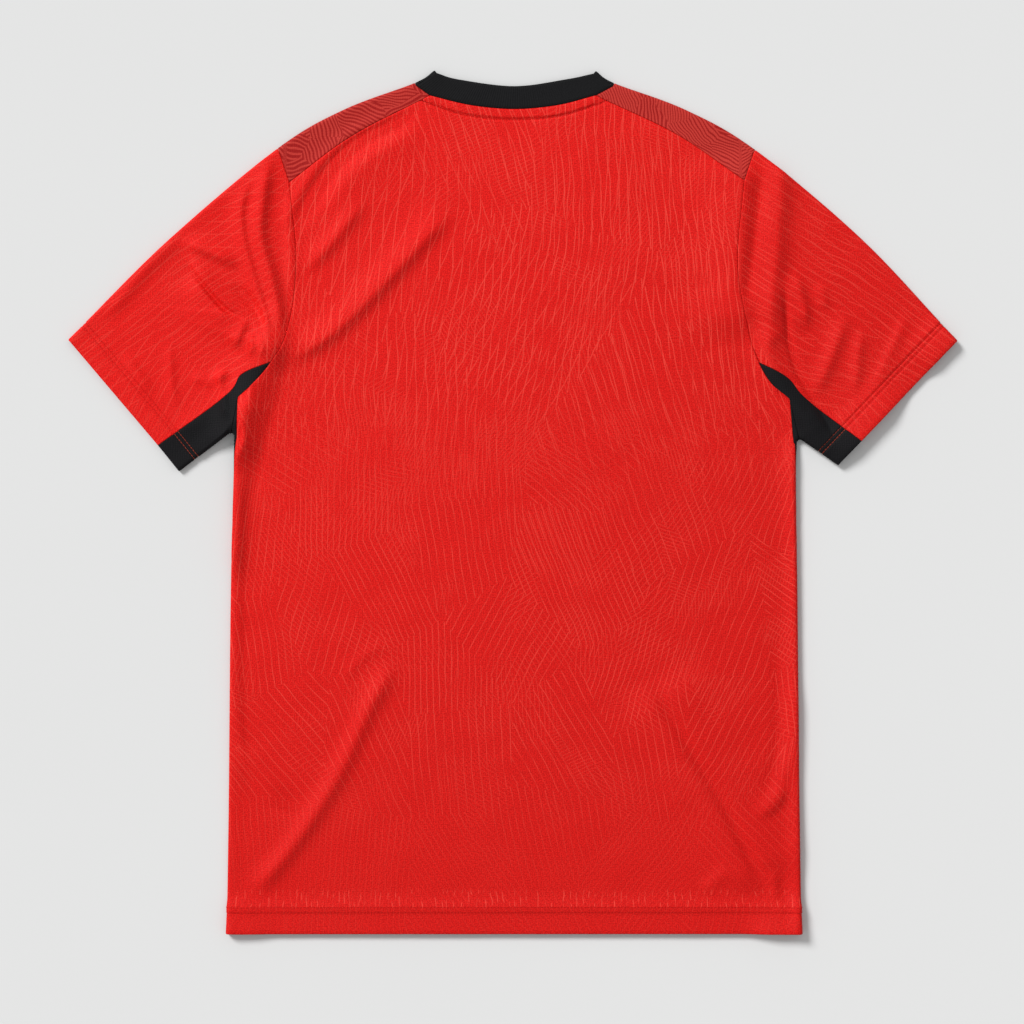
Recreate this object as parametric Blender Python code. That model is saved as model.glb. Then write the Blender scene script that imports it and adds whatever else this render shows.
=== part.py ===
"""A short-sleeved football jersey that lies flat on its front, with its back up.

Each cut piece is one closed wall of cloth. The piece is first laid out as a sheet, the
middle surface of its wall, and the sheet is then given its thickness. The upper layer
follows a height field with the jersey's folds; at each folded edge the cloth turns round
and comes back underneath, flat on the surface that the jersey lies on.

Lengths are in millimetres until the meshes are made. +X is to the right as the back is
seen, +Y towards the collar and +Z up, with the surface at Z = 0.
"""
import math

import bpy
import numpy as np

MM = 0.001

# Cloth
CLOTH = 1.3             # wall of the knitted panels
RIB = 2.0               # wall of the collar's rib
SEAM_GAP = 0.3          # between two pieces that are sewn together
BAND_RAISE = 0.5        # how far the doubled hem and cuffs stand out
HEM_BAND = 22.0
CUFF_BAND = 20.0
BAND_STEP = 1.0         # width of the step at the edge of a doubled band

# How the jersey lies
TURN = 2.3              # half the loop's width where the cloth folds over
BASE = 3.2              # height of the upper layer's middle surface
RIM = 2.0               # how much higher it is along a folded edge
RIM_WIDTH = 17.0
EDGE_LOW, EDGE_HIGH = 4.7, 7.5      # least and most height at a folded edge
LAYER_LOW = 2.35        # the upper layer never comes lower than this
NOTCH_RADIUS = 3.0      # between the sleeve and the body's side
CREASE = 50.0           # from this many degrees on, an edge of the mesh is sharp

# Parts of the cut that no name in SHAPE gives
BACK_WRAP = 8.0         # how far the back reaches in under the garment
EDGE_INSET = 10.0       # width of the back's edge strip on top, beside the loop
COLLAR_WIDTH = 20.7
FRONT_SADDLE = 26.0     # how far down the front's neck seam the saddle panels reach
FRONT_NECK = [(-75.0, 336.0), (-56.0, 288.0), (-27.0, 266.0), (0.0, 261.0),
              (27.0, 266.0), (56.0, 288.0), (75.0, 336.0)]

# The side panel between its seam with the back and the side's loop
STRIP_WIDTH = 1.5       # least width of this strip
LOOP_WIDTH = 2.0        # least width of what is left of the loop beyond it

STEPS = 10              # runs of a smooth line from one of its points to the next

# Faces along each seam
NECK_CELLS = 16
FRONT_NECK_CELLS = 20
SADDLE_CELLS = 12
SADDLE_WIDTH_CELLS = 2
ARMHOLE_CELLS = 12
UNDERARM_CELLS = 3
SLEEVE_CELLS = 14
SIDE_CELLS = 22
FRONT_SIDE_CELLS = 6
STRIP_CELLS = 3
TURN_CELLS = 4
RIB_CELLS = 3
NOTCH_SHARES = (0.0, 0.15, 0.35, 0.65, 1.0)     # where rows leave the notch's curve
NOTCH_CELLS = len(NOTCH_SHARES) - 1

# Named points of the jersey as it lies: (x, y) on the left, (x, y) on the right
SHAPE = {
    "collar_tip": ((-70.0, 388.3), (74.8, 387.8)),
    "collar_end": ((-87.8, 377.0), (91.5, 376.7)),
    "shoulder_mid": ((-151.7, 352.9), (155.3, 352.9)),
    "shoulder_tip": ((-211.6, 317.8), (218.4, 316.6)),
    "sleeve_mid": ((-309.2, 235.9), (314.6, 235.9)),
    "cuff_top": ((-399.6, 145.9), (399.8, 145.0)),
    "cuff_seam": ((-318.6, 50.9), (313.0, 54.6)),
    "cuff_low": ((-299.8, 27.5), (292.7, 32.9)),
    "notch": ((-249.8, 64.9), (255.6, 58.6)),
    "side_high": ((-250.7, 20.0), (254.7, 20.0)),
    "side_mid": ((-253.4, -88.0), (256.1, -88.0)),
    "side_low": ((-255.2, -268.0), (257.9, -268.0)),
    "hem": ((-257.0, -388.0), (259.7, -387.8)),
    "neck_seam": ((-74.3, 365.5), (74.6, 365.5)),
    "neck_mid": ((-38.0, 356.9), (41.0, 356.9)),
    "saddle_mid": ((-144.3, 329.0), (149.0, 329.6)),
    "saddle_end": ((-200.7, 287.5), (207.9, 288.5)),
    "armhole_waist": ((-194.3, 214.4), (201.9, 214.4)),
    "armhole_low": ((-202.3, 154.1), (212.0, 154.1)),
    "insert_top": ((-216.6, 125.6), (221.0, 125.6)),
    "armhole_turn": ((-234.5, 104.8), (232.9, 105.8)),
    "underarm": ((-246.2, 95.0), (248.6, 93.7)),
    "insert_hip": ((-243.0, 114.5), (247.0, 111.5)),
    "insert_bend": ((-256.5, 96.0), (264.0, 92.5)),
    "side_panel_hem": ((-219.0, -388.0), (222.0, -387.8)),
    "side_panel_mid": ((-214.0, -80.0), (218.0, -80.0)),
}
NECK_CENTRE = (1.6, 353.4)
NECK_TOP_CENTRE = (1.6, 374.0)
NECK_TOP_MID = ((-48.2, 379.9), (47.3, 379.9))

# Where the back's side seam lies: height up the body, and how far past the start of the
# side fold's loop, measured along the cloth
SIDE_SEAM = [
    # y, past the fold
    (59.0, 0.0),
    (45.0, 1.8),
    (20.0, 3.6),
    (-50.0, 7.3),
    (-90.0, math.pi * TURN + BACK_WRAP),
    (-400.0, math.pi * TURN + BACK_WRAP),
]

# The largest folds of the upper layer. Each runs through three points; its height is that
# of the crest, or of the trough where it is below zero, and its two widths are those of
# its flanks, to the left and to the right of the way it runs.
FOLDS = [
    # start, middle, end, height, left width, right width
    ((-104, -136), (-153, -238), (-236, -352), 4.8, 10.0, 14.0),      # low left sweep
    ((-246, -214), (-229, -244), (-199, -268), 2.0, 10.0, 8.0),       # low left crease
    ((130, -156), (184, -246), (238, -346), 2.8, 17.0, 8.0),          # low right sweep
    ((116, -160), (171, -250), (228, -350), -1.0, 7.0, 9.0),          # trough beside it
    ((219, -284), (245, -254), (252, -196), 2.6, 9.0, 9.0),           # low right arc
    ((-64, 260), (-120, 200), (-202, 132), 3.8, 8.0, 16.0),           # upper left sweep
    ((-141, 292), (-166, 246), (-195, 214), 2.2, 9.0, 11.0),          # above it
    ((-96, 350), (-160, 314), (-193, 256), 1.8, 9.0, 14.0),           # along the saddle
    ((104, 346), (150, 322), (193, 282), 1.2, 9.0, 12.0),
    ((-220, 142), (-240, 76), (-251, -60), 4.6, 19.0, 14.0),          # left side
    ((253, 58), (259, -160), (262, -392), 2.8, 11.0, 10.0),           # right side
    ((-218, 312), (-225, 238), (-207, 144), 3.8, 8.0, 11.0),          # left sleeve head
    ((-249, 256), (-233, 204), (-221, 140), 2.2, 7.0, 9.0),           # outside it
    ((-296, 236), (-272, 224), (-244, 209), 2.4, 8.0, 8.0),           # left sleeve
    ((-288, 222), (-263, 188), (-235, 162), 2.4, 8.0, 7.0),
    ((207, 316), (206, 240), (205, 146), 3.2, 13.0, 20.0),            # right armhole
    ((240, 316), (237, 232), (229, 150), 4.0, 10.0, 12.0),            # right sleeve head
    ((233, 206), (231, 136), (262, 78), 3.6, 12.0, 12.0),             # below it
    ((253, 204), (262, 178), (266, 148), 2.2, 9.0, 8.0),              # right sleeve
    ((299, 174), (284, 124), (268, 92), 2.4, 8.0, 8.0),
    ((314, 160), (310, 126), (307, 94), 1.9, 8.0, 8.0),
    ((357, 174), (341, 138), (323, 102), 1.7, 9.0, 8.0),
]
FOLD_TAPER = 0.3        # share of a fold's length over which each end fades out

# The neck hole lets the back's middle sink: centre, half width, half depth and drop
NECK_SAG = ((1.6, 350.0), 42.0, 40.0, 1.15)

COLOURS = {
    # name: red, green, blue, roughness
    "red_knit": (0.75, 0.015, 0.012, 0.7),
    "dark_red_knit": (0.34, 0.010, 0.010, 0.7),
    "black_knit": (0.012, 0.012, 0.014, 0.75),
    "black_rib": (0.010, 0.010, 0.012, 0.8),
}


# ---------------------------------------------------------------- lines

def spline(points, steps=STEPS):
    """A smooth line through the points, as many short runs."""
    p = np.array(points, float)
    ends = np.vstack([2 * p[0] - p[1], p, 2 * p[-1] - p[-2]])
    line = []
    for a, b, c, d in zip(ends, ends[1:], ends[2:], ends[3:]):
        for t in np.linspace(0.0, 1.0, steps, endpoint=False):
            square, cube = t * t, t * t * t
            line.append(0.5 * (2 * b + (c - a) * t + (2 * a - 5 * b + 4 * c - d) * square
                               + (3 * b - a - 3 * c + d) * cube))
    line.append(p[-1])
    return np.array(line)


def lengths(line):
    """How far along the line each of its points lies."""
    steps = np.linalg.norm(np.diff(line, axis=0), axis=1)
    return np.concatenate([[0.0], np.cumsum(steps)])


def share(line, fractions):
    """Points at the given fractions of the line's length, with all that they carry."""
    line = np.asarray(line, float)
    run = lengths(line[:, :2])
    wanted = np.asarray(fractions) * run[-1]
    return np.stack([np.interp(wanted, run, line[:, k]) for k in range(line.shape[1])], axis=1)


def even(cells):
    return np.linspace(0.0, 1.0, cells + 1)


def banded(total, band, cells, power=1.0):
    """Fractions from a doubled edge: its two step lines first, then the rest."""
    first = (band - BAND_STEP / 2) / total
    second = (band + BAND_STEP / 2) / total
    rest = 1.0 - (1.0 - even(cells - 2)) ** power
    return np.concatenate([[0.0, first], second + (1.0 - second) * rest])


def outward(line, sign):
    """The way out of the garment at each point of its outline."""
    along = np.gradient(line, axis=0)
    along /= np.linalg.norm(along, axis=1)[:, None]
    return sign * np.stack([-along[:, 1], along[:, 0]], axis=1)


def span(left, right, top, reach=2.0):
    """Rows of points between two edges that run upwards, from a straight row at the bottom
    to the given top row, whose shape fades out downwards the faster the more its reach."""
    u = np.linspace(0.0, 1.0, len(top))[:, None]
    bulge = top - ((1.0 - u) * top[0] + u * top[-1])
    climb = np.linspace(0.0, 1.0, len(left)) ** reach
    return [(1.0 - u) * low + u * high + v * bulge for low, high, v in zip(left, right, climb)]


# ---------------------------------------------------------------- one half of the outline

class Half:
    """The seams and folded edges of the jersey's left or right half."""

    def __init__(self, side):
        self.name = ("left", "right")[side]
        self.sign = (-1.0, 1.0)[side]
        self.at = {name: np.array(pair[side]) for name, pair in SHAPE.items()}
        self.upper_outline()
        self.lower_outline()
        self.seams()

    def line(self, *names):
        return spline([self.at[name] for name in names])

    def upper_outline(self):
        """From the collar's tip over the shoulder and down the sleeve to the cuff."""
        names = ["collar_tip", "collar_end", "shoulder_mid", "shoulder_tip", "sleeve_mid",
                 "cuff_top"]
        points = self.line(*names)
        ways = outward(points, self.sign)
        both = np.hstack([points, ways])
        self.collar_fold = share(both[:STEPS + 1], even(RIB_CELLS))[::-1]
        self.shoulder_fold = share(both[STEPS:3 * STEPS + 1], even(SADDLE_CELLS))
        sleeve = both[3 * STEPS:][::-1]
        total = lengths(sleeve[:, :2])[-1]
        self.sleeve_fold = share(sleeve, banded(total, CUFF_BAND, SLEEVE_CELLS))
        self.upper = points

    def lower_outline(self):
        """From the cuff along the underarm to the notch, and down the body's side."""
        notch, cuff, side = self.at["notch"], self.at["cuff_low"], self.at["side_high"]
        to_cuff = (cuff - notch) / np.linalg.norm(cuff - notch)
        to_side = (side - notch) / np.linalg.norm(side - notch)
        half_angle = math.acos(float(to_cuff @ to_side)) / 2
        middle = (to_cuff + to_side) / np.linalg.norm(to_cuff + to_side)
        centre = notch + middle * NOTCH_RADIUS / math.sin(half_angle)
        tangent = NOTCH_RADIUS / math.tan(half_angle)
        to_underarm = self.at["underarm"] - centre
        angles = []
        for point in (notch + to_cuff * tangent, centre + to_underarm, notch + to_side * tangent):
            x, y = (point - centre) * (self.sign, 1.0)
            angles.append(math.atan2(y, x) % (2 * math.pi))
        start, seam, end = angles

        def arc(first, last):
            turn = np.linspace(first, last, 9)
            spokes = np.stack([self.sign * np.cos(turn), np.sin(turn)], axis=1)
            return np.hstack([centre + NOTCH_RADIUS * spokes, -spokes])

        sleeve_arc = arc(start, seam)
        side_arc = arc(seam, end)
        straight = np.linspace(cuff, sleeve_arc[0, :2], 20, endpoint=False)
        underarm = np.vstack([np.hstack([straight, outward(straight, self.sign)]), sleeve_arc])
        total = lengths(underarm[:, :2])[-1]
        self.underarm_fold = share(underarm, banded(total, CUFF_BAND, SLEEVE_CELLS, 1.5))
        body = spline([side_arc[-1, :2], side, self.at["side_mid"], self.at["side_low"],
                       self.at["hem"]])
        body = np.hstack([body, outward(body, self.sign)])
        body[0, 2:] = side_arc[-1, 2:]
        run = lengths(body[:, :2])[-1]
        down = share(body, 1.0 - banded(run, HEM_BAND, SIDE_CELLS)[::-1])
        self.side_fold = np.vstack([share(side_arc, NOTCH_SHARES), down[1:]])
        self.lower = np.vstack([straight, sleeve_arc[:, :2], side_arc[1:, :2], body[1:, :2]])

    def seams(self):
        """The seams of the upper layer, and those of the layer under it."""
        self.saddle_seam = share(self.line("neck_seam", "saddle_mid", "saddle_end"),
                                 even(SADDLE_CELLS))
        armhole = self.line("saddle_end", "armhole_waist", "armhole_low", "insert_top",
                            "armhole_turn", "underarm")
        self.armhole = share(armhole[:3 * STEPS + 1], even(ARMHOLE_CELLS))
        self.underarm_seam = share(armhole[3 * STEPS:], even(UNDERARM_CELLS))
        insert = self.line("cuff_seam", "insert_bend", "insert_hip", "insert_top")
        total = lengths(insert)[-1]
        self.insert_seam = share(insert, banded(total, CUFF_BAND, SLEEVE_CELLS))
        self.front_seam = share(self.line("insert_top", "side_panel_mid", "side_panel_hem"),
                                even(FRONT_SIDE_CELLS))


def fold_centres(fold, wall=CLOTH):
    """Where the loops of a folded edge begin, in plan."""
    return fold[:, :2] - fold[:, 2:] * (TURN + wall / 2)


# ---------------------------------------------------------------- how high the cloth lies

def near_line(points, line):
    """For each point: its distance from the line, to which side, and how far along."""
    best = np.full(len(points), 1e9)
    side = np.zeros(len(points))
    along = np.zeros(len(points))
    run = lengths(line)
    for k, (a, b) in enumerate(zip(line, line[1:])):
        step = b - a
        size = float(step @ step)
        t = np.clip((points - a) @ step / size, 0.0, 1.0)
        gap = points - (a + t[:, None] * step)
        distance = np.hypot(gap[:, 0], gap[:, 1])
        nearer = distance < best
        best = np.where(nearer, distance, best)
        cross = step[0] * gap[:, 1] - step[1] * gap[:, 0]
        side = np.where(nearer, cross, side)
        along = np.where(nearer, (run[k] + t * math.sqrt(size)) / run[-1], along)
    return best, side, along


def soft_step(x):
    x = np.clip(x, 0.0, 1.0)
    return x * x * (3.0 - 2.0 * x)


class Lie:
    """The height of the upper layer's middle surface over any place."""

    def __init__(self, halves):
        self.edges = [line for half in halves for line in (half.upper, half.lower)]
        self.folds = [(spline(row[:3], 8), row[3], row[4], row[5]) for row in FOLDS]

    def height(self, points):
        points = np.atleast_2d(points)
        rim = np.full(len(points), 1e9)
        for edge in self.edges:
            rim = np.minimum(rim, near_line(points, edge)[0])
        edge_share = 0.5 + 0.5 * np.cos(math.pi * np.clip(rim / RIM_WIDTH, 0.0, 1.0))
        height = BASE + RIM * edge_share
        for line, rise, left, right in self.folds:
            distance, side, along = near_line(points, line)
            width = np.where(side > 0.0, left, right)
            fade = soft_step(along / FOLD_TAPER) * soft_step((1.0 - along) / FOLD_TAPER)
            height += rise * fade * np.exp(-(distance / width) ** 2)
        (x, y), wide, deep, drop = NECK_SAG
        reach = ((points[:, 0] - x) / wide) ** 2 + ((points[:, 1] - y) / deep) ** 2
        floor = LAYER_LOW - drop * np.exp(-reach)
        height -= drop * np.exp(-reach)
        return np.maximum(height, floor)


# ---------------------------------------------------------------- sheets and walls

UP = np.array((0.0, 0.0, 1.0))
RIM_ORDER = np.array((0.3, 0.9, 0.3))       # a direction that no seam runs square to


class Sheet:
    """The middle surface of a piece: points, the way out at each, and faces."""

    def __init__(self, lie, wall=CLOTH):
        self.lie = lie
        self.wall = wall
        self.points = []
        self.out = []
        self.raised = []
        self.faces = []
        self.free = []

    def add(self, point, out, raised=0.0):
        self.points.append(np.asarray(point, float))
        self.out.append(np.asarray(out, float))
        self.raised.append(raised)
        return len(self.points) - 1

    def top(self, plan, raised=0.0):
        """Points of the upper layer over these places."""
        heights = self.lie.height(plan) + (self.wall - CLOTH) / 2
        return [self.add((x, y, z), UP, raised) for (x, y), z in zip(plan, heights)]

    def under(self, plan):
        """Points of the layer that rests on the surface."""
        return [self.add((x, y, self.wall / 2), -UP) for x, y in plan]

    def round_fold(self, spot, share_of_turn, raised=0.0):
        """A point on the loop of a folded edge, from 0 on top to 1 underneath."""
        edge, way = spot[:2], spot[2:]
        centre = edge - way * (TURN + self.wall / 2)
        level = self.lie.height(centre)[0] + (self.wall - CLOTH) / 2
        level = min(max(level, EDGE_LOW), EDGE_HIGH)
        half = (level - self.wall / 2) / 2
        angle = math.pi * share_of_turn
        x, y = centre + way * TURN * math.sin(angle)
        z = self.wall / 2 + half * (1.0 + math.cos(angle))
        out = np.array((*(way * half * math.sin(angle)), TURN * math.cos(angle)))
        return self.add((x, y, z), out / np.linalg.norm(out), raised * math.cos(angle / 2))

    def skin(self, rows):
        """Four-sided faces between rows of points."""
        for low, high in zip(rows, rows[1:]):
            for k in range(len(low) - 1):
                self.faces.append([low[k], low[k + 1], high[k + 1], high[k]])

    def turn(self, start, fold, raised=None):
        """The loop of a folded edge, as rows of points from the given one on."""
        raised = raised or [0.0] * len(fold)
        rows = [start]
        for k in range(1, TURN_CELLS + 1):
            rows.append([self.round_fold(spot, k / TURN_CELLS, lift)
                         for spot, lift in zip(fold, raised)])
        self.skin(rows)
        return rows

    def face(self, loop):
        self.faces.append(list(loop))

    def leave_free(self, row):
        """An edge that no other piece meets."""
        self.free.append(set(row))

    # Giving the sheet its thickness

    def orient(self):
        points = np.array(self.points)
        for face in self.faces:
            loop = points[face]
            normal = np.zeros(3)
            for a, b in zip(loop, np.roll(loop, -1, axis=0)):
                normal += np.cross(a, b)
            if normal @ sum(self.out[k] for k in face) < 0.0:
                face.reverse()

    def border(self):
        """The edges that have a face on one side only, as directed pairs."""
        used = {(a, b) for face in self.faces for a, b in zip(face, face[1:] + face[:1])}
        return [(a, b) for a, b in used if (b, a) not in used]

    def part_seams(self, border):
        """Moves the sewn edges in by half the seam gap."""
        inward = {}
        for a, b in sorted(border):
            if any(a in row and b in row for row in self.free):
                continue
            along = self.points[b] - self.points[a]
            way = np.cross(self.out[a] + self.out[b], along)
            way /= np.linalg.norm(way)
            inward.setdefault(a, []).append(way)
            inward.setdefault(b, []).append(way)
        for k, ways in inward.items():
            total = sum(ways)
            if len(ways) == 2:
                total = total / (1.0 + float(ways[0] @ ways[1]))
            self.points[k] = self.points[k] + total * SEAM_GAP / 2

    def rim(self, a, b, count):
        """The wall's edge from a to b, split the same way on both sides of a seam."""
        if (self.points[a] - self.points[b]) @ RIM_ORDER > 0.0:
            return [[b, a, b + count], [a, a + count, b + count]]
        return [[b, a, a + count], [b, a + count, b + count]]

    def build(self, name, colour):
        self.orient()
        border = self.border()
        self.part_seams(border)
        count = len(self.points)
        outer = [p + o * (self.wall / 2 + r)
                 for p, o, r in zip(self.points, self.out, self.raised)]
        inner = [p - o * self.wall / 2 for p, o in zip(self.points, self.out)]
        faces = [list(face) for face in self.faces]
        faces += [[k + count for k in reversed(face)] for face in self.faces]
        for a, b in sorted(border):
            faces += self.rim(a, b, count)
        mesh = bpy.data.meshes.new(name)
        mesh.from_pydata([tuple(p * MM) for p in outer + inner], [], faces)
        mesh.validate()
        mesh.shade_smooth()
        mesh.set_sharp_from_angle(angle=math.radians(CREASE))
        mesh.materials.append(material(colour))
        piece = bpy.data.objects.new(name, mesh)
        bpy.context.scene.collection.objects.link(piece)
        return piece


def material(name):
    found = bpy.data.materials.get(name)
    if found:
        return found
    made = bpy.data.materials.new(name)
    made.use_nodes = True
    red, green, blue, roughness = COLOURS[name]
    shader = made.node_tree.nodes["Principled BSDF"]
    shader.inputs["Base Color"].default_value = (red, green, blue, 1.0)
    shader.inputs["Roughness"].default_value = roughness
    shader.inputs["Metallic"].default_value = 0.0
    made.diffuse_color = (red, green, blue, 1.0)
    return made


# ---------------------------------------------------------------- the pieces

def side_depth(y):
    """How far past the start of the side fold's loop the back's seam lies."""
    rows = sorted(SIDE_SEAM)
    return float(np.interp(y, [row[0] for row in rows], [row[1] for row in rows]))


def side_seam_shares(half):
    """How far down the straight top of the side seam each row from the notch meets it."""
    centres = fold_centres(half.side_fold)
    start = half.at["underarm"]
    run = centres[NOTCH_CELLS] - start
    shares = []
    for spot, way in zip(centres[:NOTCH_CELLS + 1], half.side_fold[:, 2:]):
        offset = spot - start
        cross = run[0] * way[1] - run[1] * way[0]
        shares.append((offset[0] * way[1] - offset[1] * way[0]) / cross)
    return np.array(shares)[:, None]


def side_seam_plan(half):
    """The back's side seam where it is still on top, from the underarm down."""
    start = half.at["underarm"]
    last = fold_centres(half.side_fold)[NOTCH_CELLS]
    return start + (last - start) * side_seam_shares(half)


def body_edge(half):
    """The line that parts the back's middle from its wrapped sides, underarm to hem."""
    edge = fold_centres(half.side_fold) - half.side_fold[:, 2:] * EDGE_INSET
    first = half.underarm_seam[-2]
    last = edge[NOTCH_CELLS].copy()
    edge[:NOTCH_CELLS + 1] = first + (last - first) * side_seam_shares(half)
    return edge


def wrapped(sheet, half, station, depth, raised=0.0):
    """A point at a depth along the cloth past the start of the side fold's loop."""
    spot = half.side_fold[station]
    centre = fold_centres(spot[None])[0]
    loop = math.pi * TURN
    if depth <= 0.0:
        return sheet.top([centre + spot[2:] * depth], raised)[0]
    if depth >= loop:
        return sheet.under([centre - spot[2:] * (depth - loop)])[0]
    return sheet.round_fold(spot, depth / loop, raised)


def hem_raise(station):
    """The doubled hem stands out on the last two rows of the body."""
    return BAND_RAISE if station >= NOTCH_CELLS + SIDE_CELLS - 1 else 0.0


def make_back(lie, halves):
    left, right = halves
    sheet = Sheet(lie)
    edges = []
    for half in halves:
        low = body_edge(half)[::-1]
        armhole = np.vstack([half.underarm_seam[-3::-1], half.armhole[-2::-1]])
        edges.append(np.vstack([low, armhole]))
    neck = spline([left.at["neck_seam"], left.at["neck_mid"], NECK_CENTRE,
                   right.at["neck_mid"], right.at["neck_seam"]])
    neck = share(neck, even(NECK_CELLS))
    top = np.vstack([left.saddle_seam[::-1], neck[1:-1], right.saddle_seam])
    grid = span(*edges, top)
    rows = []
    stations = NOTCH_CELLS + SIDE_CELLS
    for i, row in enumerate(grid):
        rows.append(sheet.top(row, hem_raise(stations - i)))
    sheet.skin(rows)
    hem = set(rows[0])
    for half, column in zip(halves, (0, -1)):
        lines = [[rows[stations - k][column] for k in range(stations + 1)]]
        seam = side_seam_plan(half)
        edge = body_edge(half)
        loop_end = EDGE_INSET + math.pi * TURN
        shares = np.concatenate([[0.0], np.linspace(EDGE_INSET, loop_end, TURN_CELLS + 1),
                                 [loop_end + BACK_WRAP]])
        shares /= shares[-1]
        for part in shares[1:]:
            line = []
            for k in range(stations + 1):
                if k <= NOTCH_CELLS:
                    line += sheet.top([edge[k] + (seam[k] - edge[k]) * part])
                    continue
                depth = side_depth(half.side_fold[k, 1])
                line.append(wrapped(sheet, half, k, (depth + EDGE_INSET) * part - EDGE_INSET,
                                    hem_raise(k)))
            lines.append(line)
        sheet.skin(lines)
        hem |= {line[-1] for line in lines}
    sheet.leave_free(hem)
    return sheet.build("back", "red_knit")


def make_side(lie, half):
    """A side panel: under the front's edge, and round the fold below the underarm."""
    sheet = Sheet(lie)
    stations = NOTCH_CELLS + SIDE_CELLS
    seam = side_seam_plan(half)
    centres = fold_centres(half.side_fold)
    loop = math.pi * TURN
    rows = []
    for k in range(stations + 1):
        if k <= NOTCH_CELLS:
            depth = -float(np.linalg.norm(seam[k] - centres[k]))
        else:
            depth = side_depth(half.side_fold[k, 1])
        if depth > loop:
            break
        start = max(0.0, depth + STRIP_WIDTH)
        end = max(loop, start + LOOP_WIDTH)
        row = []
        for part in range(STRIP_CELLS):
            if k < NOTCH_CELLS:
                row += sheet.top([seam[k] + (centres[k] - seam[k]) * part / STRIP_CELLS])
            else:
                row.append(wrapped(sheet, half, k,
                                   depth + (start - depth) * part / STRIP_CELLS))
        for part in range(TURN_CELLS + 1):
            row.append(wrapped(sheet, half, k, start + (end - start) * part / TURN_CELLS))
        row += sheet.under(share(half.front_seam, [k / stations]))
        rows.append(row)
    sheet.skin(rows)
    back_seam = []
    front_seam = []
    for station in range(len(rows), stations + 1):
        depth = side_depth(half.side_fold[station, 1])
        back_seam.append(wrapped(sheet, half, station, depth))
        front_seam += sheet.under(share(half.front_seam, [station / stations]))
    sheet.face(rows[-1] + front_seam + back_seam[::-1])
    sheet.leave_free([front_seam[-1], back_seam[-1]])
    return sheet.build("side_" + half.name, "black_knit")


def make_shoulder(lie, half, neck):
    """A saddle panel, over the shoulder's fold; neck is its seam under the fold."""
    sheet = Sheet(lie)
    centres = fold_centres(half.shoulder_fold)
    rows = []
    for part in even(SADDLE_WIDTH_CELLS):
        rows.append(sheet.top(half.saddle_seam + (centres - half.saddle_seam) * part))
    sheet.skin(rows)
    turned = sheet.turn(rows[-1], half.shoulder_fold)
    front = sheet.under(np.vstack([half.saddle_seam[-1:], neck[::-1]]))
    sheet.face(turned[-1] + front)
    return sheet.build("shoulder_" + half.name, "dark_red_knit")


def make_sleeve(lie, half):
    sheet = Sheet(lie)
    centres = fold_centres(half.sleeve_fold)
    head = np.vstack([np.linspace(centres[-1], half.saddle_seam[-1], SADDLE_WIDTH_CELLS + 1),
                      half.armhole[1:]])
    grid = span(centres, half.insert_seam, head)
    raised = [BAND_RAISE if i <= 1 else 0.0 for i in range(len(centres))]
    rows = [sheet.top(row, lift) for row, lift in zip(grid, raised)]
    sheet.skin(rows)
    turned = sheet.turn([row[0] for row in rows], half.sleeve_fold, raised)
    seams = sheet.under(np.vstack([half.saddle_seam[-1:], half.armhole[1:],
                                   half.insert_seam[:1]]))
    sheet.face(turned[-1] + seams)
    sheet.leave_free(rows[0] + [row[0] for row in turned] + seams[-1:])
    return sheet.build("sleeve_" + half.name, "red_knit")


def make_underarm(lie, half):
    """The insert under the arm, between the sleeve's two seams."""
    sheet = Sheet(lie)
    fold = half.underarm_fold
    centres = fold_centres(fold)
    end = np.vstack([half.underarm_seam,
                     np.linspace(half.underarm_seam[-1], centres[-1], UNDERARM_CELLS + 1)[1:]])
    grid = span(half.insert_seam, centres, end, reach=4.0)
    raised = [BAND_RAISE if i <= 1 else 0.0 for i in range(len(centres))]
    rows = [sheet.top(row, lift) for row, lift in zip(grid, raised)]
    sheet.skin(rows)
    turned = sheet.turn([row[-1] for row in rows], fold, raised)
    seam = sheet.under([half.at["insert_top"], half.insert_seam[0]])
    sheet.face(turned[-1] + seam)
    sheet.leave_free(rows[0] + [row[0] for row in turned] + seam[-1:])
    return sheet.build("underarm_" + half.name, "black_knit")


def front_neck(halves):
    """The neck seam under the back, from the left collar fold to the right one. Two runs
    at each end meet a saddle panel, and the others meet the front."""
    starts = [fold_centres(half.collar_fold[:1], RIB)[0] for half in halves]
    middle = [(NECK_CENTRE[0] + x, y) for x, y in FRONT_NECK]
    line = spline([starts[0]] + middle + [starts[1]])
    cut = FRONT_SADDLE / lengths(line)[-1]
    front = cut + (1.0 - 2.0 * cut) * even(FRONT_NECK_CELLS)
    return share(line, [0.0, cut / 2, *front, 1.0 - cut / 2, 1.0])


def make_front(lie, halves, neck):
    sheet = Sheet(lie)
    ends = []
    for half in halves:
        side = share(half.front_seam, even(NOTCH_CELLS + SIDE_CELLS))
        ends.append(np.vstack([side[::-1], half.armhole[-2::-1]]))
    loop = sheet.under(np.vstack([ends[0], neck[2:-2], ends[1][::-1]]))
    sheet.face(loop)
    sheet.leave_free([loop[0], loop[-1]])
    return sheet.build("front", "red_knit")


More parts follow.
